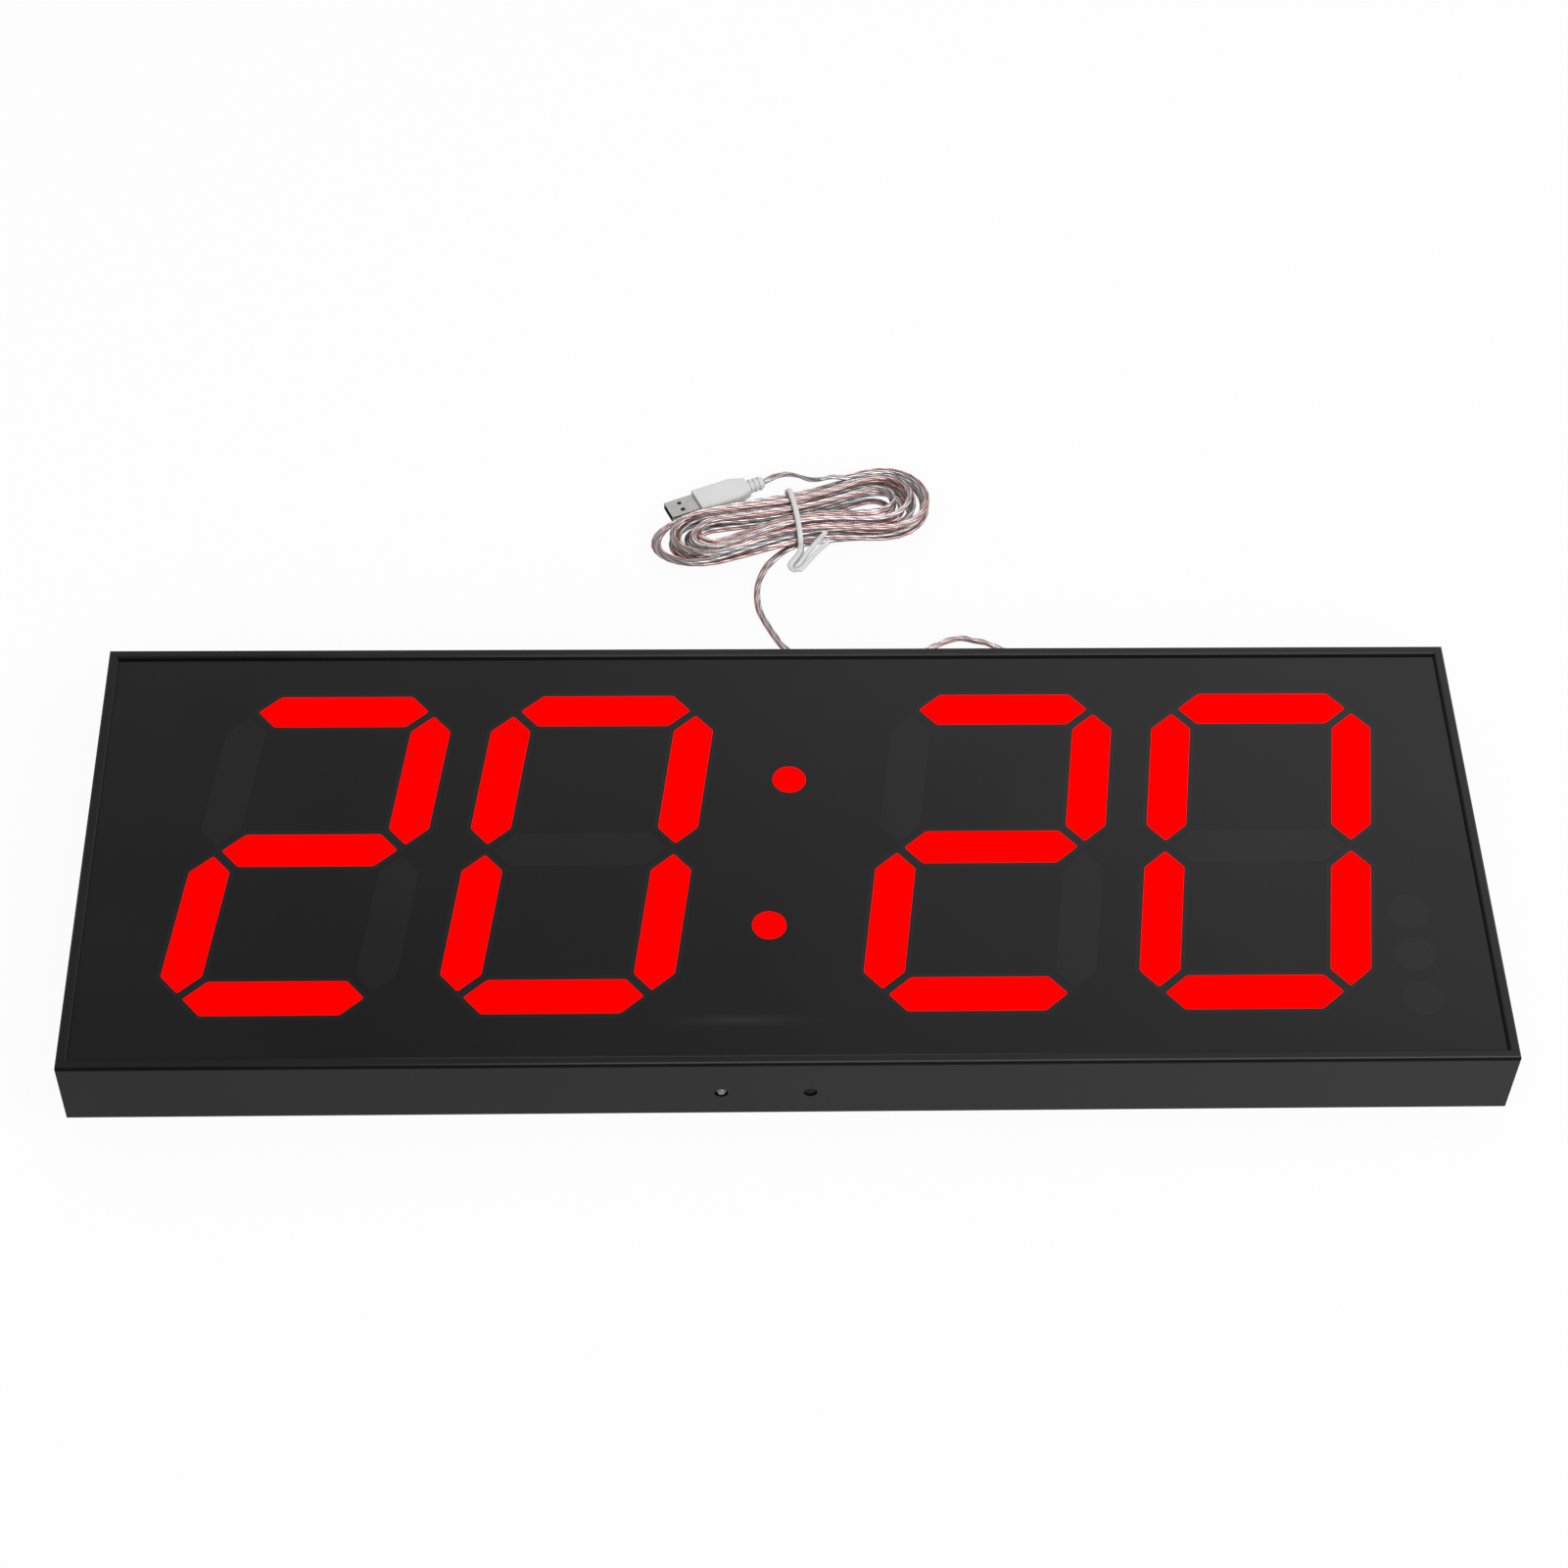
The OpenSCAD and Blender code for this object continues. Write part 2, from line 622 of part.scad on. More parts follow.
module back_screw_bodies() {
    sink = (back_head_d - back_screw_d) / 2;
    for (p = BACK_SCREWS) translate([p[0], p[1], back_recess]) {
        cylinder(d1 = back_head_d, d2 = back_screw_d, h = sink);
        cylinder(d = back_screw_d, h = back_screw_l);
    }
}

module back_panel() {
    inset = wall + back_edge_air;
    color(matt_black) difference() {
        translate([inset - casing_w / 2, inset - top_y, back_recess])
            cube([casing_w - 2 * inset, casing_h - 2 * inset, back_t]);
        back_screw_bodies();
        keyholes();
        rivet_shanks();
    }
}

module back_screws() {
    color(bright_steel) back_screw_bodies();
}

module hanger_plates() {
    size = [keyhole_d + 2 * (hanger_margin + rivet_d), keyhole_d + keyhole_len + hanger_margin];
    color(zinc) difference() {
        for (sx = [-1, 1])
            translate([sx * keyhole_pitch / 2 - size[0] / 2, keyhole_y - keyhole_d, back_top])
                cube([size[0], size[1], hanger_t]);
        keyholes();
        rivet_shanks();
    }
}

module hanger_rivets() {
    color(bright_steel) {
        rivet_shanks();
        for (p = RIVETS) translate([p[0], p[1], back_top + hanger_t])
            cylinder(d = rivet_head_d, h = rivet_head_h);
    }
}

// Front
module front_panel() {
    inset = wall + panel_edge_air;
    color(smoked, 0.45) translate([inset - casing_w / 2, inset - top_y, panel_z])
        cube([casing_w - 2 * inset, casing_h - 2 * inset, panel_t]);
}

module segments(height, inset) {
    for (place = [0:3]) for (seg = SEGMENTS)
        translate([DIGIT_X[place], 0, 0]) linear_extrude(height) polygon(segment_outline(seg, inset));
}

module lenses(lit) {
    for (place = [0:3]) for (index = [0:6]) if (is_lit(place, index) == lit)
        translate([DIGIT_X[place], 0, lens_z]) linear_extrude(lens_t)
            polygon(segment_outline(SEGMENTS[index], 0));
}

module dots(places, d, z, h) {
    for (p = places) translate([p[0], p[1], z]) cylinder(d = d, h = h);
}

module digit_mask() {
    inset = lip_w + mask_edge_air;
    color(matt_black) difference() {
        translate([inset - casing_w / 2, inset - top_y, lens_z])
            cube([casing_w - 2 * inset, casing_h - 2 * inset, lens_t]);
        translate([0, 0, lens_z - over]) segments(lens_t + 2 * over, -aperture_air);
        for (p = DOTS) dots([p], p[2] + 2 * aperture_air, lens_z - over, lens_t + 2 * over);
    }
}

module lit_lenses() {
    color(lit_red) lenses(true);
}

module unlit_lenses() {
    color(unlit_grey) lenses(false);
}

module colon_lenses() {
    color(lit_red) dots(COLON, colon_d, lens_z, lens_t);
}

module indicator_lenses() {
    color(unlit_grey) dots(INDICATORS, indicator_d, lens_z, lens_t);
}

module well(outline) {
    translate([0, 0, -over]) linear_extrude(reflector_h + 2 * over) polygon(outline);
}

module digit_reflector(place) {
    half = [digit_outer_w / 2 + reflector_wall, digit_outer_h / 2 + reflector_wall];
    color(white_plastic) translate([DIGIT_X[place], 0, board_top]) difference() {
        linear_extrude(reflector_h) polygon([for (s = [[-1, -1], [1, -1], [1, 1], [-1, 1]])
            leaned([s[0] * half[0], s[1] * half[1]])]);
        for (seg = SEGMENTS) well(segment_outline(seg, lens_land));
        for (sy = [-1, 1]) well(counter_outline(sy * digit_h / 4));
    }
}

module round_reflectors(places, d) {
    color(white_plastic) difference() {
        dots(places, d + 2 * reflector_wall, board_top, reflector_h);
        dots(places, d - 2 * lens_land, board_top - over, reflector_h + 2 * over);
    }
}

module colon_reflectors() {
    round_reflectors(COLON, colon_d);
}

module indicator_reflectors() {
    round_reflectors(INDICATORS, indicator_d);
}

// Boards
module board(from_x, to_x, holes) {
    color(board_green) difference() {
        translate([from_x, -board_half_h, board_z]) cube([to_x - from_x, 2 * board_half_h, board_t]);
        dots(holes, board_screw_d, board_z - over, board_t + 2 * over);
    }
}

module left_board() {
    board(-left_board_out, -pair_board_in, pair_holes(-1));
}

module right_board() {
    board(pair_board_in, right_board_out, pair_holes(1));
}

module control_board() {
    board(-control_half_w, control_half_w, CONTROL_HOLES);
}

module led(p) {
    translate([p[0] - led_side / 2, p[1] - led_side / 2, board_top]) cube([led_side, led_side, led_h]);
}

module segment_leds() {
    steps = even(-1, 1, leds_per_segment);
    color(white_plastic) for (place = [0:3]) for (seg = SEGMENTS) for (step = steps) {
        span = (seg[2] ? digit_w / 2 : digit_h / 4) - tip_setback - seg_w;
        along = seg[2] ? [step * span, 0] : [0, step * span];
        led([DIGIT_X[place], 0] + leaned([seg[0], seg[1]] + along));
    }
}

module dot_leds() {
    color(white_plastic) for (p = DOTS) led(p);
}

module board_standoffs() {
    color(zinc) difference() {
        dots(BOARD_HOLES, standoff_d, back_top, standoff_h);
        dots(BOARD_HOLES, board_screw_d, back_top - over, standoff_h + 2 * over);
    }
}

module board_screws() {
    length = board_t + standoff_h / 2;
    color(bright_steel) {
        dots(BOARD_HOLES, board_screw_d, board_top - length, length);
        dots(BOARD_HOLES, screw_head_d, board_top, screw_head_h);
    }
}

module board_links() {
    width = board_air + 2 * link_reach;
    color(matt_black) for (sx = [-1, 1])
        translate([sx * (control_half_w + board_air / 2) - width / 2, -link_l / 2, board_top])
            cube([width, link_l, link_h]);
}

module chip(x, y, size) {
    translate([x - size[0] / 2, y - size[1] / 2, board_top]) cube([size[0], size[1], chip_h]);
}

module controller_chip() {
    color(chip_black) chip(0, controller_y, [controller_side, controller_side]);
}

module clock_chip() {
    color(chip_black) chip(0, clock_y, clock_size);
}

module driver_chips() {
    color(chip_black) for (sx = [-1, 1]) for (y = DRIVER_Y) chip(sx * driver_x, y, driver_size);
}

module cell_holder() {
    color(matt_black) translate([0, cell_y, board_top]) difference() {
        cylinder(d = cell_d + 2 * holder_wall, h = holder_floor + cell_t);
        translate([0, 0, holder_floor]) cylinder(d = cell_d, h = cell_t + over);
    }
}

module backup_cell() {
    color(bright_steel) translate([0, cell_y, board_top + holder_floor]) cylinder(d = cell_d, h = cell_t);
}

module buzzer() {
    color(chip_black) translate([0, buzzer_y, board_top]) cylinder(d = buzzer_d, h = buzzer_h);
}

module power_socket() {
    color(white_plastic) translate([-socket_size[0] / 2, socket_end - socket_size[1], board_top])
        cube(socket_size);
}

// Sensors behind the bottom rail
sensor_face_y = sensor_board_in - top_y;
sensor_board_from = light_x - sensor_board_margin;
sensor_board_to = receiver_x + sensor_board_margin;

module sensor_board() {
    color(board_green) translate([sensor_board_from, sensor_face_y, rib_top])
        cube([sensor_board_to - sensor_board_from, board_t, sensor_board_h]);
}

module light_sensor() {
    stem = sensor_board_in - light_dome_h;
    color(sensor_grey) translate([light_x, sensor_face_y, sensor_z]) rotate([90, 0, 0]) {
        cylinder(d = sensor_d, h = stem);
        translate([0, 0, stem]) cylinder(d1 = sensor_d, d2 = sensor_d / 2, h = light_dome_h);
    }
}

module remote_receiver() {
    color(chip_black) {
        translate([receiver_x - receiver_block / 2, sensor_face_y - receiver_depth, sensor_z - sensor_d / 2])
            cube([receiver_block, receiver_depth, receiver_block]);
        bore_along_y(receiver_x, receiver_sink - top_y, sensor_z, sensor_d,
            sensor_board_in - receiver_sink - receiver_depth);
    }
}

module temperature_probe() {
    color(probe_brown) bore_along_y(probe_x, sensor_face_y - probe_l, sensor_z, probe_d, probe_l);
}

module sensor_ribbon() {
    from_y = sensor_face_y + board_t;
    color(ribbon_grey) translate([probe_x - ribbon_w / 2, from_y, max(board_top, rib_top)])
        cube([ribbon_w, ribbon_land - board_half_h - from_y, ribbon_t]);
}

// Power lead
module cord_grommet() {
    rail_in = top_y - wall;
    flange_d = grommet_d + 2 * grommet_step;
    bore_d = cord_w + 2 * cord_air;
    color(matt_black) difference() {
        union() {
            bore_along_y(grommet_x, rail_in - grommet_flange, grommet_z, flange_d, grommet_flange);
            bore_along_y(grommet_x, rail_in, grommet_z, grommet_d, wall);
            bore_along_y(grommet_x, top_y, grommet_z, flange_d, grommet_flange);
        }
        bore_along_y(grommet_x, rail_in - 2 * grommet_flange, grommet_z, bore_d, wall + 4 * grommet_flange);
    }
}

cord_section = [cord_w, cord_t];
cord_sides = 8;
hank_sides = 6;
route_parts = 2;

module inner_lead() {
    route = smooth(INNER_ROUTE, route_parts);
    color(copper_pink) sweep(route, [0, 1, 0], [0, 1, 0], cord_section, cord_sides);
}

module cord_lead() {
    route = smooth(concat(LEAD_ROUTE, [hank_start]), route_parts);
    color(copper_pink) sweep(route, [0, 1, 0], hank_in, cord_section, cord_sides);
}

module cord_hank() {
    color(copper_pink) sweep(HANK_ROUTE, hank_in, hank_out, cord_section, hank_sides);
}

module cord_tail() {
    route = smooth(concat([hank_end], TAIL_ROUTE, [relief_end]), route_parts);
    color(copper_pink) sweep(route, hank_out, -relief_heading, cord_section, cord_sides);
}

module cord_tie() {
    route = smooth([for (p = TIE_ROUTE) on_floor(p)], route_parts);
    last = len(route) - 1;
    first_heading = unit(route[1] - route[0]);
    last_heading = unit(route[last] - route[last - 1]);
    hank_axis = [cos(hank_tilt), sin(hank_tilt), 0];
    color(white_plastic) sweep(route, first_heading, last_heading, [tie_d, tie_d], hank_sides, hank_axis);
}

// Plug
module plug_shell() {
    color(bright_steel) on_plug() difference() {
        translate([-shell_l, -shell_w / 2, -shell_h / 2]) cube([shell_l, shell_w, shell_h]);
        translate([-shell_l - over, shell_wall - shell_w / 2, shell_wall - shell_h / 2])
            cube([shell_l + over - shell_wall, shell_w - 2 * shell_wall, shell_h - 2 * shell_wall]);
        for (sy = [-1, 1]) translate([
            shell_hole_in - shell_l, sy * shell_hole_pitch / 2 - shell_hole[1] / 2, -shell_h
        ]) cube([shell_hole[0], shell_hole[1], 2 * shell_h]);
    }
}

tongue_w = shell_w - 2 * (shell_wall + tongue_gap);
tongue_l = shell_l - shell_wall - contact_inset;
tongue_z = shell_h / 2 - shell_wall - tongue_t;

module plug_tongue() {
    color(chip_black) on_plug()
        translate([-shell_wall - tongue_l, -tongue_w / 2, tongue_z]) cube([tongue_l, tongue_w, tongue_t]);
}

module plug_contacts() {
    tip_x = contact_inset - shell_wall - tongue_l;
    color(gold) on_plug() for (k = [-1.5:1:1.5])
        translate([tip_x, k * contact_pitch - contact_w / 2, tongue_z - contact_t])
            cube([tongue_l - 2 * contact_inset, contact_w, contact_t]);
}

module grip_end(x, w, h) {
    for (sy = [-1, 1]) for (sz = [-1, 1])
        translate([x, sy * (w / 2 - grip_round), sz * (h / 2 - grip_round)])
            rotate([0, 90, 0]) cylinder(r = grip_round, h = eps, $fn = 16);
}

module plug_grip() {
    color(white_plastic) on_plug() hull() {
        grip_end(0, grip_w, grip_h);
        grip_end(grip_l - grip_tail_l, grip_w, grip_h);
        grip_end(grip_l - eps, grip_tail_w, grip_tail_h);
    }
}

module plug_relief() {
    rib = relief_l / (2 * relief_ribs + 1);
    color(white_plastic) on_plug() translate([grip_l, 0, 0]) rotate([0, 90, 0]) {
        cylinder(d = relief_end_d, h = relief_l);
        for (k = [0:relief_ribs - 1]) translate([0, 0, (2 * k + 1) * rib]) cylinder(d = relief_d, h = rib);
    }
}

top_rail();
bottom_rail();
left_rail();
right_rail();
corner_keys();
corner_set_screws();
back_panel();
back_screws();
hanger_plates();
hanger_rivets();
front_panel();
digit_mask();
lit_lenses();
unlit_lenses();
colon_lenses();
indicator_lenses();
for (k = [1:4]) digit_reflector(k - 1);
colon_reflectors();
indicator_reflectors();
left_board();
right_board();
control_board();
segment_leds();
dot_leds();
board_standoffs();
board_screws();
board_links();
controller_chip();
clock_chip();
driver_chips();
cell_holder();
backup_cell();
buzzer();
power_socket();
sensor_board();
light_sensor();
remote_receiver();
temperature_probe();
sensor_ribbon();
cord_grommet();
inner_lead();
cord_lead();
cord_hank();
cord_tail();
cord_tie();
plug_shell();
plug_tongue();
plug_contacts();
plug_grip();
plug_relief();
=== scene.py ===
"""Looks of the gym round timer: a black casing on its back, red digits behind smoked acrylic, and a clear
flat power lead that is tied in a hank behind the casing. Metres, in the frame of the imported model."""

import json
import math

import bmesh
import bpy
from mathutils import Matrix, Vector
from mathutils.geometry import delaunay_2d_cdt


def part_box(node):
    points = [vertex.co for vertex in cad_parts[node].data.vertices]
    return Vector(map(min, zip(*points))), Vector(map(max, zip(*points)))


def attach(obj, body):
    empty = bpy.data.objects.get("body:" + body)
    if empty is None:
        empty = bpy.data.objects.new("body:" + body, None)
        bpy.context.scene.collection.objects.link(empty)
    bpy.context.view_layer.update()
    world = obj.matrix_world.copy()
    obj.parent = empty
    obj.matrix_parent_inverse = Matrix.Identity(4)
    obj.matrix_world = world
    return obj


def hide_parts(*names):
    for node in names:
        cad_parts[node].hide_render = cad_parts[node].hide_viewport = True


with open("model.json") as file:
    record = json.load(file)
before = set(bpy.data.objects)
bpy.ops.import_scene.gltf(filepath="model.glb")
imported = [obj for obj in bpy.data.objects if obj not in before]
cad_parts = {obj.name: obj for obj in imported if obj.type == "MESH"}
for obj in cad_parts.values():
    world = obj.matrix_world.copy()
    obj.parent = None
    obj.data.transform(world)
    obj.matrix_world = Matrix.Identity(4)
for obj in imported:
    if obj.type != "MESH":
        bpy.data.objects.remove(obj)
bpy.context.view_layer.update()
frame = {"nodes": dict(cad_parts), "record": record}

MM = 0.001
NODES = frame["nodes"]
SLOTS = {part["node"]: part["material_slot"] for part in frame["record"]["subparts"]}

# Camera: the photograph's place, turn in degrees and lens in millimetres
CAMERA_AT = (-0.0570, -1.0238, 1.3683)
CAMERA_TURN = (38.747, -1.324, -1.408)
CAMERA_LENS = 76.80
SENSOR_W = 36.0

# Casing: its top edge in millimetres, and its front and its right side in metres
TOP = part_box("top_rail")[1].y / MM
TOP_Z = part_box("top_rail")[1].z
SIDE_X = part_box("right_rail")[1].x

# Flat twin lead: its length in metres, and its section and its routes in millimetres
CORD_W = 3.8
CORD_T = 2.0
WEB_T = 1.24
LOBE_ARC = 120
LOBE_STEP = 40
FLOOR_AIR = 0.1
REST_Z = CORD_T / 2 + FLOOR_AIR
RAIL_WALL = 1.6
GROMMET_X, _, GROMMET_Z = (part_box("cord_grommet")[0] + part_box("cord_grommet")[1]) / (2 * MM)

LEAD_ROUTE = [
    (GROMMET_X, TOP - RAIL_WALL / 2, GROMMET_Z), (GROMMET_X, TOP + 7, GROMMET_Z), (138.9, TOP + 13, 18.4),
    (135.6, TOP + 18.6, 14.2), (130.4, TOP + 23.6, 9.4), (124.8, TOP + 28.4, 5.8), (119.4, TOP + 33.6, 3.4),
    (114, TOP + 38.2, 2.1), (107.4, TOP + 40.5, 1.4), (99.8, TOP + 42.6, REST_Z), (91.2, TOP + 40, REST_Z),
    (81, TOP + 34, REST_Z), (69, TOP + 28, REST_Z), (55, TOP + 24.5, REST_Z), (40, TOP + 23.5, REST_Z),
    (25, TOP + 24.5, REST_Z), (13, TOP + 29, REST_Z), (4, TOP + 36, REST_Z), (-1, TOP + 44.5, REST_Z),
    (-5.5, TOP + 54, REST_Z), (-9, TOP + 63.5, REST_Z), (-10, TOP + 73, REST_Z), (-9.2, TOP + 82, REST_Z),
    (-6, TOP + 91.7, REST_Z), (-1, TOP + 100, REST_Z), (5.5, TOP + 106, 2.2),
]
TAIL_ROUTE = [
    (34, TOP + 153.8, 11.5), (27, TOP + 151.8, 11.3), (20.5, TOP + 154.2, 8.8), (14.3, TOP + 159.6, 6.2),
    (8.8, TOP + 162.4, 5), (3.5, TOP + 162.2, 4.4), (-1.2, TOP + 160, 4),
]

# Hank, in millimetres, turns and degrees to a turn: the same loops as its solid, with more rings to a turn
HANK_AT = Vector((11.5, TOP + 125.5, 0))
HANK_TILT = math.radians(14)
HANK_REACH = (79.6, 76.5)
HANK_DEPTH = (19.3, 32)
HANK_WAIST = 16
REACH_STEP = (10.6, 9.4)
DEPTH_STEP = (4.7, 9.5)
WAIST_STEP = 6.25
HANK_PINCH = 4
HANK_TAPER = 1.6
HANK_WANDER = 2.6
REACH_WAVE = 320
DRIFT_WAVE = 240
LIFT_POWER = 6
LAYERS = 4
LAYER_AIR = 1
LAYER_PITCH = CORD_T + LAYER_AIR
LAYER_TURNS = 2.25
CLIMB_TURNS = 0.5
HANK_TURNS = 10 + 5 / 12
RINGS_PER_TURN = 48
ROUTE_PARTS = 4

# How the lead lies, in radians and metres: its lean, its turns over, and the twists where it stands on edge
FIRST_ROLL = math.pi
LEAN = 0.4
HALF_LEANS = 18
LEVEL_ENDS = 16
TURNOVERS = 7
OVER_FROM = 0.5
OVER_FOR = 0.15
TWIST = 1.2
TWISTS = ((0.226, 0.016), (3.361, 0.014))

# Tie, in millimetres, in the hank's own axes
TIE_D = 2.4
TIE_SECTION = (1.5, 3.0)
TIE_SIDES = 10
TIE_LOW = TIE_D / 2
TIE_HIGH = REST_Z + (LAYERS - 1) * LAYER_PITCH + CORD_T / 2 + 1.5 * TIE_D + 0.4
TIE_SIDE = HANK_WAIST + CORD_W / 2 + TIE_D / 2 + 1
TIE_ROUTE = [
    (12.5, -21, TIE_HIGH + 1), (6, -23, 10.5), (-0.5, -26.5, 6), (-5, -30, 3.6), (-7.5, -30.3, 2),
    (-5, -26, TIE_LOW), (-1.5, -21, TIE_LOW), (1, -10, TIE_LOW), (1.6, 0, TIE_LOW), (1.6, 8, TIE_LOW),
    (1.6, TIE_SIDE - 2, TIE_LOW + 0.4), (1.6, TIE_SIDE, 5), (1.6, TIE_SIDE, TIE_HIGH / 2),
    (1.6, TIE_SIDE - 1, TIE_HIGH - 4), (1.5, TIE_SIDE - 6, TIE_HIGH), (1, 2, TIE_HIGH + 0.2),
    (-0.2, -8, TIE_HIGH + 0.2), (-1.4, 4 - TIE_SIDE, TIE_HIGH), (-1.8, -TIE_SIDE, TIE_HIGH - 4),
    (-2, -TIE_SIDE - 0.6, TIE_HIGH / 2), (-3, -TIE_SIDE - 2.6, 4.8), (-7, -26, 3.8), (-10.2, -29, 3.2),
    (-9.5, -33, 3), (-6, -34, 3.6), (-1.5, -31.5, 5), (5, -28.5, 9), (12.5, -26, 13),
]

# Plug, in millimetres: the joint between shell and grip, its heading, and its lengths
PLUG_AT = Vector((-42.4, TOP + 140.8, 4))
PLUG_TURN = math.radians(24)
GRIP_L = 31
RELIEF_L = 9.5

# Lens outlines, in millimetres and counts, and the panel's materials in the order of its areas
SEGMENT_CORNERS = 8
CORNER_CUT = 1.2
CORNER_STEPS = 4
RIM_W = 2.2
SAME_POINT = 0.001
SAME_LEVEL = 0.01
INSIDE_ONLY = 1
PANEL_MATERIALS = ["smoked_acrylic", "unlit_grey", "lit_red"]
BARE, UNLIT, LIT = range(len(PANEL_MATERIALS))

# Rails: the fine lines' grain, the painted shadow line under the lip and the inner bevel in metres, and their
# gloss
LINES_ALONG_X = (3, 2500, 2500)
LINES_ALONG_Y = (2500, 3, 2500)
SHADOW_LINE_Z = TOP_Z - 0.0015
SHADOW_LINE_W = 0.0022
OUTER_SKIN = 0.001
BEVEL_IN = 0.0042
FADE = 0.0001
RAIL_GLOSS = 0.5
SHADOW_LINE_GLOSS = 0.02
# Share of the gloss left on the inner bevel, lowered as painted shade over the lamp's highlight there
BEVEL_PAINTED_SHADE = 0.45

# Clear lead: the strands' lay in metres, and the sleeve's colour and its waves round the section
STRAND_LAY = 0.045
SLEEVE = (0.62, 0.56, 0.57)
SLEEVE_WAVES = 4

# Painted highlight streak on the panel, in metres
STREAK_AT = (-0.025, -0.1045, TOP_Z)
STREAK_SIZE = (0.052, 0.0052, 0.1)

# Studio floor just under the part: how much of it glows white, and its brightness in gloss, left and right
FLOOR_SIZE = 12.0
FLOOR_Z = -0.0003
FLOOR_GLOW = 0.94
FLOOR_MIRRORED = (0.36, 0.52)

# Plain light from all round, and the sky in gloss: two places on an axis and the brightness at each
AMBIENT = 0.6
SKY_ACROSS = (-0.1, 0.25, 0.39, 0.84)
SKY_UP = (0.75, 0.82, 1.0, 0.68)
SKY_FRONT = (-0.95, -0.6, 0.15, 1.0)

# Lamps: name, place, size and power
LAMPS = (
    ("key", (0.6, -1.9, 1.75), 2.0, 30),
    ("fill", (2.4, -0.4, 2.1), 1.6, 15),
    ("rim", (0.0, 3.4, 1.9), 1.1, 12),
)


# Materials: a principled shader, and noise in object space that varies its colour, roughness and relief
def new_node(mat, kind, **values):
    made = mat.node_tree.nodes.new(kind)
    for name, value in values.items():
        setattr(made, name, value)
    return made


def shader_of(mat):
    return mat.node_tree.nodes["Principled BSDF"]


def link(mat, source, target):
    mat.node_tree.links.new(source, target)


def plain(name, color, roughness, **sockets):
    """Material of one colour. Further shader sockets are given by name, with _ for a space."""
    mat = bpy.data.materials.new(name)
    mat.use_nodes = True
    inputs = shader_of(mat).inputs
    inputs["Base Color"].default_value = (*color, 1)
    inputs["Roughness"].default_value = roughness
    for socket, value in sockets.items():
        inputs[socket.replace("_", " ")].default_value = value
    return mat


def noise(mat, scale, stretch=(1, 1, 1), detail=4.0):
    """Output of a noise whose features are 1 / scale metres across, stretched along the axes."""
    place = new_node(mat, "ShaderNodeTexCoord")
    mapping = new_node(mat, "ShaderNodeMapping")
    mapping.inputs["Scale"].default_value = stretch
    texture = new_node(mat, "ShaderNodeTexNoise")
    texture.inputs["Scale"].default_value = scale
    texture.inputs["Detail"].default_value = detail
    link(mat, place.outputs["Object"], mapping.inputs["Vector"])
    link(mat, mapping.outputs["Vector"], texture.inputs["Vector"])
    return texture.outputs["Fac"]


def ranged(mat, source, low, high, to_low, to_high):
    node = new_node(mat, "ShaderNodeMapRange")
    for socket, value in zip(node.inputs[1:5], (low, high, to_low, to_high)):
        socket.default_value = value
    link(mat, source, node.inputs[0])
    return node.outputs[0]


def spread(mat, source, low, high):
    """A noise's middle range drawn out to run from low to high."""
    return ranged(mat, source, 0.3, 0.7, low, high)


def vary_color(mat, source, dark, light):
    mix = new_node(mat, "ShaderNodeMix", data_type="RGBA")
    mix.inputs["A"].default_value = (*dark, 1)
    mix.inputs["B"].default_value = (*light, 1)
    link(mat, spread(mat, source, 0, 1), mix.inputs["Factor"])
    link(mat, mix.outputs["Result"], shader_of(mat).inputs["Base Color"])


def vary_roughness(mat, source, low, high):
    link(mat, spread(mat, source, low, high), shader_of(mat).inputs["Roughness"])


def add_relief(mat, source, depth, strength=0.4):
    bump = new_node(mat, "ShaderNodeBump")
    bump.inputs["Distance"].default_value = depth
    bump.inputs["Strength"].default_value = strength
    link(mat, source, bump.inputs["Height"])
    link(mat, bump.outputs["Normal"], shader_of(mat).inputs["Normal"])


def grey(value):
    return (value, value, value)


def split_place(mat, kind):
    """Separate axes of a place on the surface, of a kind such as Object or UV."""
    place = new_node(mat, "ShaderNodeTexCoord")
    split = new_node(mat, "ShaderNodeSeparateXYZ")
    link(mat, place.outputs[kind], split.inputs[0])
    return split.outputs


def worked(mat, operation, source, value=0.0):
    """Outcome of one arithmetic operation on a socket and a number."""
    node = new_node(mat, "ShaderNodeMath", operation=operation)
    link(mat, source, node.inputs[0])
    node.inputs[1].default_value = value
    return node.outputs[0]


def times(mat, first, second):
    product = new_node(mat, "ShaderNodeMath", operation="MULTIPLY")
    link(mat, first, product.inputs[0])
    link(mat, second, product.inputs[1])
    return product.outputs[0]


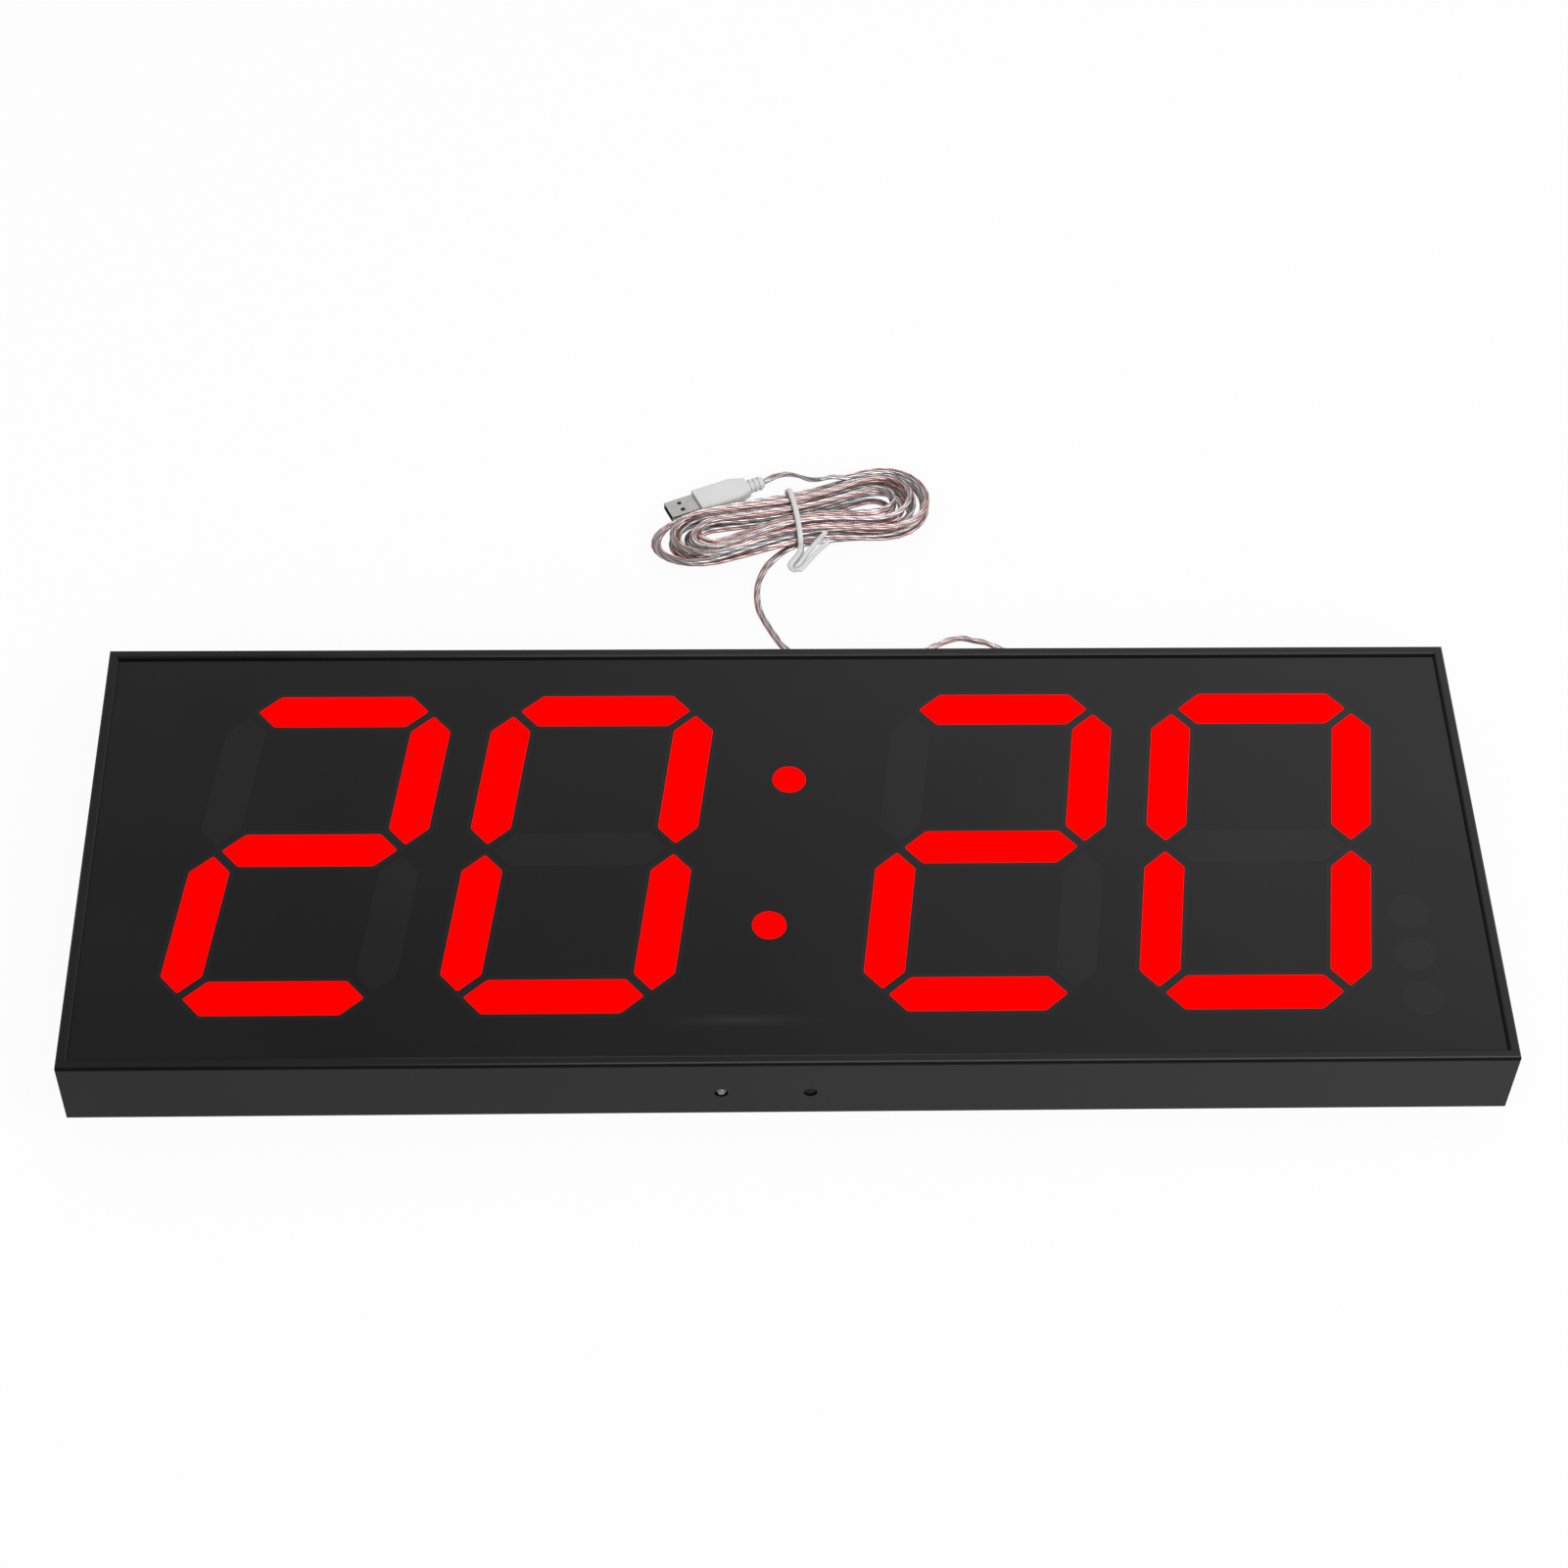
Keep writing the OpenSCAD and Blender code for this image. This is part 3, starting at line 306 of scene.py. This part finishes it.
def anodised(name, grain, across, edge):
    """Black anodised aluminium with the die's fine lines along the rail, painted shade that dims the inner
    bevel's highlight, and a painted shadow line under the lip on the outer face, which lies at edge on the
    axis across the rail."""
    mat = plain(name, grey(0.005), 0.20)
    lines = noise(mat, 1.0, grain, 2.0)
    cloud = noise(mat, 9.0)
    vary_color(mat, cloud, grey(0.0045), grey(0.007))
    vary_roughness(mat, cloud, 0.16, 0.24)
    add_relief(mat, lines, 0.00002, 0.12)
    place = split_place(mat, "Object")
    # Painted shadow line: a thin band of the outer face under the lip loses its gloss, so that it shows dark
    off_shadow_line = worked(mat, "ABSOLUTE", worked(mat, "SUBTRACT", place["Z"], SHADOW_LINE_Z))
    shadow_line = ranged(mat, off_shadow_line, SHADOW_LINE_W / 2, SHADOW_LINE_W / 2 + FADE, 1, 0)
    out = worked(mat, "ABSOLUTE", place[across])
    outer = ranged(mat, out, edge - OUTER_SKIN, edge - OUTER_SKIN + FADE, 0, 1)
    gloss = ranged(mat, times(mat, shadow_line, outer), 0, 1, RAIL_GLOSS, SHADOW_LINE_GLOSS)
    # Painted shade: the inner bevel's gloss is lowered to dim the lamp's highlight on it
    bevel_shade = ranged(mat, out, edge - BEVEL_IN, edge - BEVEL_IN + FADE, BEVEL_PAINTED_SHADE, 1)
    link(mat, times(mat, gloss, bevel_shade), shader_of(mat).inputs["Specular IOR Level"])
    return mat


def moulded(name, dark, light, roughness, grain=1400.0, depth=0.00002):
    """Moulded plastic or sheet with a fine pebbled face and a faint cloud of colour."""
    mat = plain(name, light, roughness)
    vary_color(mat, noise(mat, 40.0), dark, light)
    vary_roughness(mat, noise(mat, 90.0), roughness - 0.05, roughness + 0.05)
    add_relief(mat, noise(mat, grain, detail=2.0), depth)
    return mat


def metal(name, dark, light, roughness, grain=(1, 1, 1)):
    """Bare or plated metal with fine marks."""
    mat = plain(name, light, roughness, Metallic=1.0)
    vary_color(mat, noise(mat, 160.0), dark, light)
    vary_roughness(mat, noise(mat, 600.0, grain), roughness - 0.02, roughness + 0.03)
    add_relief(mat, noise(mat, 2500.0, grain, 2.0), 0.000001)
    return mat


def acrylic(name, dark, light):
    """Polished smoked acrylic with faint smears."""
    mat = plain(name, light, 0.08)
    smears = noise(mat, 6.0, (1, 2.5, 1), 3.0)
    vary_color(mat, noise(mat, 14.0), dark, light)
    vary_roughness(mat, smears, 0.06, 0.14)
    return mat


def add_painted_streak(mat, at, size, color):
    """One soft pale streak painted on a material as a highlight, of a size along each axis."""
    place = new_node(mat, "ShaderNodeTexCoord")
    mapping = new_node(mat, "ShaderNodeMapping", vector_type="TEXTURE")
    mapping.inputs["Location"].default_value = at
    mapping.inputs["Scale"].default_value = size
    spot = new_node(mat, "ShaderNodeTexGradient", gradient_type="QUADRATIC_SPHERE")
    mix = new_node(mat, "ShaderNodeMix", data_type="RGBA")
    mix.inputs["B"].default_value = (*color, 1)
    base = shader_of(mat).inputs["Base Color"]
    link(mat, place.outputs["Object"], mapping.inputs["Vector"])
    link(mat, mapping.outputs["Vector"], spot.inputs["Vector"])
    link(mat, base.links[0].from_socket, mix.inputs["A"])
    link(mat, spot.outputs["Fac"], mix.inputs["Factor"])
    link(mat, mix.outputs["Result"], base)


def painted_glow_lens(name):
    """A lens that glows evenly in pure red, with no reflection; on the front sheet this is a glow painted on
    the sheet's face where a lit lens shines through.
    """
    mat = plain(name, (0.35, 0, 0), 0.5, Emission_Color=(1, 0, 0, 1), Emission_Strength=1.0)
    shader_of(mat).inputs["Specular IOR Level"].default_value = 0.0
    return mat


def clear_over(name, dark, light):
    """A stranded core in a clear glossy sleeve: strands wind along it, and the sleeve is pale at the web."""
    mat = plain(name, light, 0.20, Metallic=0.85, Coat_Weight=1.0, Coat_Roughness=0.04)
    place = new_node(mat, "ShaderNodeTexCoord")
    strands = new_node(mat, "ShaderNodeTexWave", bands_direction="DIAGONAL")
    strands.inputs["Scale"].default_value = 3.0
    strands.inputs["Distortion"].default_value = 1.5
    link(mat, place.outputs["UV"], strands.inputs["Vector"])
    vary_color(mat, strands.outputs["Fac"], dark, light)
    core = shader_of(mat).inputs["Base Color"].links[0].from_socket
    turn = worked(mat, "MULTIPLY", split_place(mat, "UV")["Y"], SLEEVE_WAVES * 2 * math.pi)
    wave = worked(mat, "SINE", turn)
    sleeve = new_node(mat, "ShaderNodeMix", data_type="RGBA")
    sleeve.inputs["A"].default_value = (*SLEEVE, 1)
    link(mat, core, sleeve.inputs["B"])
    link(mat, ranged(mat, wave, -1, 0.4, 0.6, 1), sleeve.inputs["Factor"])
    link(mat, sleeve.outputs["Result"], shader_of(mat).inputs["Base Color"])
    return mat


MATERIALS = {
    "anodised_black": anodised("anodised_black", LINES_ALONG_X, "Y", TOP * MM),
    "anodised_black_sides": anodised("anodised_black_sides", LINES_ALONG_Y, "X", SIDE_X),
    "back_black": moulded("back_black", grey(0.010), grey(0.016), 0.60, 900.0, 0.00006),
    "smoked_acrylic": acrylic("smoked_acrylic", grey(0.003), grey(0.005)),
    "mask_black": moulded("mask_black", grey(0.006), grey(0.010), 0.70),
    "lit_red": painted_glow_lens("lit_red"),
    "unlit_grey": acrylic("unlit_grey", grey(0.007), grey(0.009)),
    "white_plastic": moulded("white_plastic", grey(0.70), grey(0.78), 0.42),
    "board_green": moulded("board_green", (0.010, 0.060, 0.028), (0.014, 0.078, 0.038), 0.35),
    "chip_black": moulded("chip_black", grey(0.012), grey(0.020), 0.55),
    "bright_steel": metal("bright_steel", (0.53, 0.51, 0.50), (0.60, 0.58, 0.57), 0.24),
    "zinc": metal("zinc", (0.30, 0.31, 0.33), (0.40, 0.41, 0.42), 0.40),
    "cell_steel": metal("cell_steel", grey(0.52), grey(0.60), 0.18),
    "receiver_black": moulded("receiver_black", grey(0.003), grey(0.005), 0.75),
    "black_rubber": moulded("black_rubber", grey(0.012), grey(0.020), 0.65),
    "copper_core": clear_over("copper_core", (0.34, 0.16, 0.14), (0.74, 0.50, 0.46)),
    "tinned_core": clear_over("tinned_core", (0.27, 0.25, 0.26), (0.74, 0.70, 0.72)),
    "tie_white": moulded("tie_white", grey(0.74), grey(0.82), 0.38),
    "contact_gold": metal("contact_gold", (0.62, 0.40, 0.12), (0.75, 0.50, 0.17), 0.25),
    "sensor_clear": moulded("sensor_clear", grey(0.14), grey(0.21), 0.24),
    "ribbon_grey": moulded("ribbon_grey", grey(0.42), grey(0.50), 0.50),
}
MATERIALS["clear_lead"] = MATERIALS["copper_core"]
# A pale streak painted on the smoked sheet towards its near edge as a highlight
add_painted_streak(MATERIALS["smoked_acrylic"], STREAK_AT, STREAK_SIZE, grey(0.022))
OWN_MATERIALS = {
    "left_rail": "anodised_black_sides",
    "right_rail": "anodised_black_sides",
    "remote_receiver": "receiver_black",
}


def dress_solids():
    """Every solid that shows takes its own material or that of its slot."""
    for name, solid in NODES.items():
        solid.data.materials.clear()
        solid.data.materials.append(MATERIALS[OWN_MATERIALS.get(name, SLOTS[name])])


# Pieces
def add_piece(name, points, faces, materials, face_materials=None, smooth=True):
    """New mesh piece that rides on the part's one body."""
    mesh = bpy.data.meshes.new(name)
    mesh.from_pydata(points, [], faces)
    for mat in materials:
        mesh.materials.append(MATERIALS[mat])
    for index, face in enumerate(mesh.polygons):
        face.use_smooth = smooth
        face.material_index = face_materials[index] if face_materials else 0
    mesh.update()
    piece = bpy.data.objects.new(name, mesh)
    bpy.context.scene.collection.objects.link(piece)
    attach(piece, "root")
    return piece


def in_metres(points):
    return [Vector(point) * MM for point in points]


def spline(a, b, c, d, t):
    return 0.5 * (2 * b + (c - a) * t + (2 * a - 5 * b + 4 * c - d) * t**2 + (3 * b - a - 3 * c + d) * t**3)


def smoothed(points, parts):
    """Points of a smooth curve through the given ones, with parts steps between two of them."""
    ends = [2 * points[0] - points[1], *points, 2 * points[-1] - points[-2]]
    curve = []
    for i in range(len(points) - 1):
        curve += [spline(*ends[i:i + 4], k / parts) for k in range(parts)]
    return curve + [points[-1]]


def rings_along(points, first, last, section, upright, rolls=None):
    """A ring of points for each point of a curve. The section's second axis stays upright, but for rolls."""
    rings = []
    for i, point in enumerate(points):
        if i == 0:
            heading = first
        elif i == len(points) - 1:
            heading = last
        else:
            heading = points[i + 1] - points[i - 1]
        heading = heading.normalized()
        across = heading.cross(upright).normalized()
        upward = across.cross(heading)
        turn = Matrix.Rotation(rolls[i] if rolls else 0.0, 3, heading)
        rings.append([point + turn @ (across * a + upward * b) for a, b in section])
    return rings


def skin(rings):
    """Faces of a tube through rings of equal count, closed at both ends."""
    sides = len(rings[0])
    faces = []
    for i in range(len(rings) - 1):
        for k in range(sides):
            near = i * sides
            after = (k + 1) % sides
            faces.append((near + k, near + after, near + sides + after, near + sides + k))
    last = (len(rings) - 1) * sides
    faces.append(tuple(range(sides - 1, -1, -1)))
    faces.append(tuple(range(last, last + sides)))
    return faces


def oval(size, sides):
    steps = [2 * math.pi * (k + 0.5) / sides for k in range(sides)]
    return [(size[0] / 2 * math.cos(a) * MM, size[1] / 2 * math.sin(a) * MM) for a in steps]


# Lead
def blend(pair, share):
    return pair[0] + (pair[1] - pair[0]) * share


def on_floor(point):
    return HANK_AT + Matrix.Rotation(HANK_TILT, 3, "Z") @ Vector(point)


def hank_point(turn):
    """Place on the hank: every layer spirals in or out, and the lead climbs where the spiral turns back."""
    span = LAYER_TURNS + CLIMB_TURNS
    layer = min(LAYERS - 1, math.floor(turn / span))
    in_layer = turn - layer * span
    wound = min(in_layer, LAYER_TURNS)
    wound = LAYER_TURNS - wound if layer % 2 else wound
    height = layer + max(0, in_layer - LAYER_TURNS) / CLIMB_TURNS
    angle = math.radians(360 * turn - 90)
    right = (1 + math.cos(angle)) / 2
    reach = blend([r - wound * s for r, s in zip(HANK_REACH, REACH_STEP)], right)
    reach += HANK_WANDER * math.sin(math.radians(REACH_WAVE * turn))
    depth = blend([d - wound * s for d, s in zip(HANK_DEPTH, DEPTH_STEP)], right)
    waist = HANK_WAIST - wound * WAIST_STEP
    end = min(1, reach * (1 - abs(math.cos(angle))) / (HANK_TAPER * depth))
    side = math.copysign(math.sqrt(end * (2 - end)), math.sin(angle))
    y = side * (waist + (depth - waist) * (1 - math.sin(angle) ** HANK_PINCH))
    drift = math.cos(angle) ** 2 * HANK_WANDER * math.sin(math.radians(DRIFT_WAVE * turn))
    lift = TIE_D * math.sin(angle) ** LIFT_POWER
    return on_floor((reach * math.cos(angle), y + drift, REST_Z + LAYER_PITCH * height + lift))


def plug_point(along, across=0.0, up=0.0):
    """Place on the plug, in millimetres along its heading, across it and up."""
    return PLUG_AT + Matrix.Rotation(PLUG_TURN, 3, "Z") @ Vector((along, across, up))


def level(step):
    return Vector((step.x, step.y, 0)).normalized()


def lead_path():
    """The lead's middle line from the grommet through the hank to the plug, in metres."""
    loops = [hank_point(i / RINGS_PER_TURN) for i in range(round(HANK_TURNS * RINGS_PER_TURN) + 1)]
    start = loops[0] - CORD_W * level(loops[1] - loops[0])
    end = loops[-1] + CORD_W * level(loops[-1] - loops[-2])
    lead = smoothed([*map(Vector, LEAD_ROUTE), start], ROUTE_PARTS)
    tail = smoothed([end, *map(Vector, TAIL_ROUTE), plug_point(GRIP_L + RELIEF_L)], ROUTE_PARTS)
    return in_metres(lead + loops + tail)


def twin_section():
    """Outline of the flat twin lead: two round lobes side by side with a web between them."""
    lobe = CORD_T / 2
    apart = CORD_W / 2 - lobe
    right = [math.radians(a) for a in range(-LOBE_ARC, LOBE_ARC + 1, LOBE_STEP)]
    points = [(apart + lobe * math.cos(a), lobe * math.sin(a)) for a in right]
    points.append((0, WEB_T / 2))
    points += [(-x, -y) for x, y in points[:len(right)]]
    points.append((0, -WEB_T / 2))
    return [(x * MM, y * MM) for x, y in points]


def lead_roll(at, length):
    """The lead leans to and fro except at its ends, turns over at times, and stands on edge at its twists."""
    share = at / length
    ramp = min(1, LEVEL_ENDS * share, LEVEL_ENDS * (1 - share))
    part = (TURNOVERS * share) % 1
    over = min(1, max(0, (part - OVER_FROM) / OVER_FOR))
    turned = math.floor(TURNOVERS * share) + over * over * (3 - 2 * over)
    twist = sum(TWIST * math.exp(-((at - place) / reach) ** 2) for place, reach in TWISTS)
    lean = ramp * LEAN * math.sin(HALF_LEANS * math.pi * share)
    return FIRST_ROLL + lean + math.pi * turned + twist


def distances(path):
    """Length along a path up to each of its points."""
    along = [0.0]
    for i in range(1, len(path)):
        along.append(along[-1] + (path[i] - path[i - 1]).length)
    return along


def add_uv(piece, along, sides):
    """Texture places on a tube: along it in strand lengths, and once round it."""
    layer = piece.data.uv_layers.new(name="along")
    for face in piece.data.polygons[:(len(along) - 1) * sides]:
        ring, side = divmod(face.index, sides)
        corners = ((ring, side), (ring, side + 1), (ring + 1, side + 1), (ring + 1, side))
        for loop, (row, turn) in zip(face.loop_indices, corners):
            layer.data[loop].uv = (along[row] / STRAND_LAY, turn / sides)


def add_lead():
    path = lead_path()
    along = distances(path)
    rolls = [lead_roll(at, along[-1]) for at in along]
    for point, roll in zip(path, rolls):
        point.z += (CORD_W - CORD_T) / 2 * MM * abs(math.sin(roll))
    section = twin_section()
    sides = len(section)
    end = plug_point(0) - plug_point(1)
    rings = rings_along(path, Vector((0, 1, 0)), end, section, Vector((0, 0, 1)), rolls)
    faces = skin(rings)
    half = sides // 2
    cores = [0 if k % sides < half else 1 for k in range(len(faces))]
    points = [point for ring in rings for point in ring]
    lead = add_piece("power_lead", points, faces, ["copper_core", "tinned_core"], cores)
    add_uv(lead, along, sides)
    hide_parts("cord_lead", "cord_hank", "cord_tail")
    return lead, path


def add_tie():
    path = in_metres(smoothed([on_floor(point) for point in TIE_ROUTE], ROUTE_PARTS))
    axis = Matrix.Rotation(HANK_TILT, 3, "Z") @ Vector((1, 0, 0))
    rings = rings_along(path, path[1] - path[0], path[-1] - path[-2], oval(TIE_SECTION, TIE_SIDES), axis)
    points = [point for ring in rings for point in ring]
    tie = add_piece("hank_tie", points, skin(rings), ["tie_white"])
    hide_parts("cord_tie")
    return tie


# Front panel: one sheet, whose face is divided along the lenses that shine or show through it
def lens_outlines(node):
    """Outline of each lens of a node, in order round its middle."""
    solid = bmesh.new()
    solid.from_mesh(NODES[node].data)
    bmesh.ops.remove_doubles(solid, verts=solid.verts, dist=SAME_POINT * MM)
    top = max(point.co.z for point in solid.verts)
    faces = {face for face in solid.faces if all(top - point.co.z < SAME_LEVEL * MM for point in face.verts)}
    outlines = []
    while faces:
        island, edge = set(), [faces.pop()]
        while edge:
            face = edge.pop()
            island.update(face.verts)
            beside = {other for line in face.edges for other in line.link_faces} & faces
            faces -= beside
            edge += beside
        middle = sum((point.co.xy for point in island), Vector((0, 0))) / len(island)
        spokes = sorted((point.co.xy - middle for point in island), key=lambda v: math.atan2(v.y, v.x))
        outlines.append([middle + spoke for spoke in spokes])
    solid.free()
    return outlines


def rounded(outline):
    """A segment's outline with its corners rounded. A dot's outline has many points and stays as it is."""
    if len(outline) > SEGMENT_CORNERS:
        return outline
    points = []
    for i, corner in enumerate(outline):
        before = outline[i - 1] - corner
        after = outline[(i + 1) % len(outline)] - corner
        start = corner + before.normalized() * CORNER_CUT * MM
        end = corner + after.normalized() * CORNER_CUT * MM
        for k in range(CORNER_STEPS + 1):
            t = k / CORNER_STEPS
            points.append(start.lerp(corner, t).lerp(corner.lerp(end, t), t))
    return points


def grown(outline):
    """An outline moved outwards by the width of the pale rim that shows round a lit segment."""
    points = []
    for i, corner in enumerate(outline):
        before = (corner - outline[i - 1]).normalized()
        after = (outline[(i + 1) % len(outline)] - corner).normalized()
        outward = Vector((before.y + after.y, -before.x - after.x))
        points.append(corner + outward * RIM_W * MM / (1 + before.dot(after)))
    return points


def add_panel():
    low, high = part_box("front_panel")
    corners = [Vector(p) for p in ((low.x, low.y), (high.x, low.y), (high.x, high.y), (low.x, high.y))]
    areas = [(corners, BARE)]
    for node in ("unlit_lenses", "indicator_lenses"):
        areas += [(rounded(outline), UNLIT) for outline in lens_outlines(node)]
    # The light of the lit lenses and the colon, which shines through the sheet, is painted on the sheet's
    # face as a red glow
    for node in ("lit_lenses", "colon_lenses"):
        areas += [(rounded(outline), LIT) for outline in lens_outlines(node)]
    areas += [(rounded(grown(outline)), UNLIT) for outline in lens_outlines("lit_lenses")]
    flat = []
    loops = []
    for outline, _ in areas:
        loops.append(list(range(len(flat), len(flat) + len(outline))))
        flat += outline
    places, _, triangles, _, _, owners = delaunay_2d_cdt(flat, [], loops, INSIDE_ONLY, SAME_POINT * MM)
    points = [(place.x, place.y, high.z) for place in places]
    inside = [max(areas[owner][1] for owner in owned) for owned in owners]
    rim = [min(range(len(places)), key=lambda k: (places[k] - corner).length) for corner in corners]
    under = list(range(len(points), len(points) + 4))
    points += [(corner.x, corner.y, low.z) for corner in corners]
    sides = [(rim[k], under[k], under[(k + 1) % 4], rim[(k + 1) % 4]) for k in range(4)]
    faces = [tuple(t) for t in triangles] + sides + [tuple(reversed(under))]
    inside += [BARE] * (len(faces) - len(inside))
    panel = add_piece("display_panel", points, faces, PANEL_MATERIALS, inside, False)
    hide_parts("front_panel")
    return panel


# Studio
def add_camera():
    data = bpy.data.cameras.new("view")
    data.sensor_width = SENSOR_W
    data.lens = CAMERA_LENS
    camera = bpy.data.objects.new("view", data)
    camera.location = CAMERA_AT
    camera.rotation_euler = [math.radians(turn) for turn in CAMERA_TURN]
    bpy.context.scene.collection.objects.link(camera)
    bpy.context.scene.camera = camera


def add_softbox(name, place, size, watts):
    """Square lamp that faces the middle of the casing."""
    data = bpy.data.lights.new(name, "AREA")
    data.size = size
    data.energy = watts
    lamp = bpy.data.objects.new(name, data)
    lamp.location = place
    lamp.rotation_euler = Vector(place).to_track_quat("Z", "Y").to_euler()
    bpy.context.scene.collection.objects.link(lamp)


def mixed(tree_owner, share, low, high):
    """A number that runs from low to high with share. Each is a socket or a number."""
    mix = new_node(tree_owner, "ShaderNodeMix", data_type="FLOAT")
    for socket, value in zip((mix.inputs[0], mix.inputs[2], mix.inputs[3]), (share, low, high)):
        if isinstance(value, (int, float)):
            socket.default_value = value
        else:
            link(tree_owner, value, socket)
    return mix.outputs[0]


def add_world():
    """White studio: plain light on the object, a white background, and in gloss a sky that is brighter to the
    right and dark low at the front."""
    world = bpy.data.worlds.new("studio")
    world.use_nodes = True
    bpy.context.scene.world = world
    rays = new_node(world, "ShaderNodeLightPath")
    place = split_place(world, "Generated")
    sky = ranged(world, place["X"], *SKY_ACROSS)
    sky = times(world, sky, ranged(world, place["Z"], *SKY_UP))
    sky = times(world, sky, ranged(world, place["Y"], *SKY_FRONT))
    mirrored = mixed(world, rays.outputs["Is Glossy Ray"], AMBIENT, sky)
    through = mixed(world, rays.outputs["Is Transmission Ray"], mirrored, 1.0)
    strength = mixed(world, rays.outputs["Is Camera Ray"], through, 1.0)
    link(world, strength, world.node_tree.nodes["Background"].inputs["Strength"])
    world.node_tree.nodes["Background"].inputs["Color"].default_value = (1, 1, 1, 1)


def floor_material():
    """White ground that shows white to the camera and in reflections, and keeps a faint shadow."""
    mat = plain("ground", grey(0.85), 0.9, Specular_IOR_Level=0.0)
    rays = new_node(mat, "ShaderNodeLightPath")
    glow = new_node(mat, "ShaderNodeEmission")
    glow.inputs["Color"].default_value = (1, 1, 1, 1)
    mirrored = ranged(mat, split_place(mat, "Object")["X"], -SIDE_X, SIDE_X, *FLOOR_MIRRORED)
    link(mat, mixed(mat, rays.outputs["Is Glossy Ray"], 1.0, mirrored), glow.inputs["Strength"])
    mix = new_node(mat, "ShaderNodeMixShader")
    glossy = mixed(mat, rays.outputs["Is Glossy Ray"], 0.0, FLOOR_GLOW)
    through = mixed(mat, rays.outputs["Is Transmission Ray"], glossy, FLOOR_GLOW)
    link(mat, mixed(mat, rays.outputs["Is Camera Ray"], through, FLOOR_GLOW), mix.inputs[0])
    link(mat, shader_of(mat).outputs[0], mix.inputs[1])
    link(mat, glow.outputs[0], mix.inputs[2])
    link(mat, mix.outputs[0], mat.node_tree.nodes["Material Output"].inputs["Surface"])
    return mat


def add_floor():
    half = FLOOR_SIZE / 2
    mesh = bpy.data.meshes.new("floor")
    corners = ((-half, -half), (half, -half), (half, half), (-half, half))
    mesh.from_pydata([(x, y, FLOOR_Z) for x, y in corners], [], [(0, 1, 2, 3)])
    mesh.materials.append(floor_material())
    floor = bpy.data.objects.new("floor", mesh)
    bpy.context.scene.collection.objects.link(floor)


add_camera()
for lamp in LAMPS:
    add_softbox(*lamp)
add_world()
add_floor()
dress_solids()
add_panel()
tie = add_tie()
lead, lead_line = add_lead()
bpy.context.scene.view_settings.view_transform = "Standard"
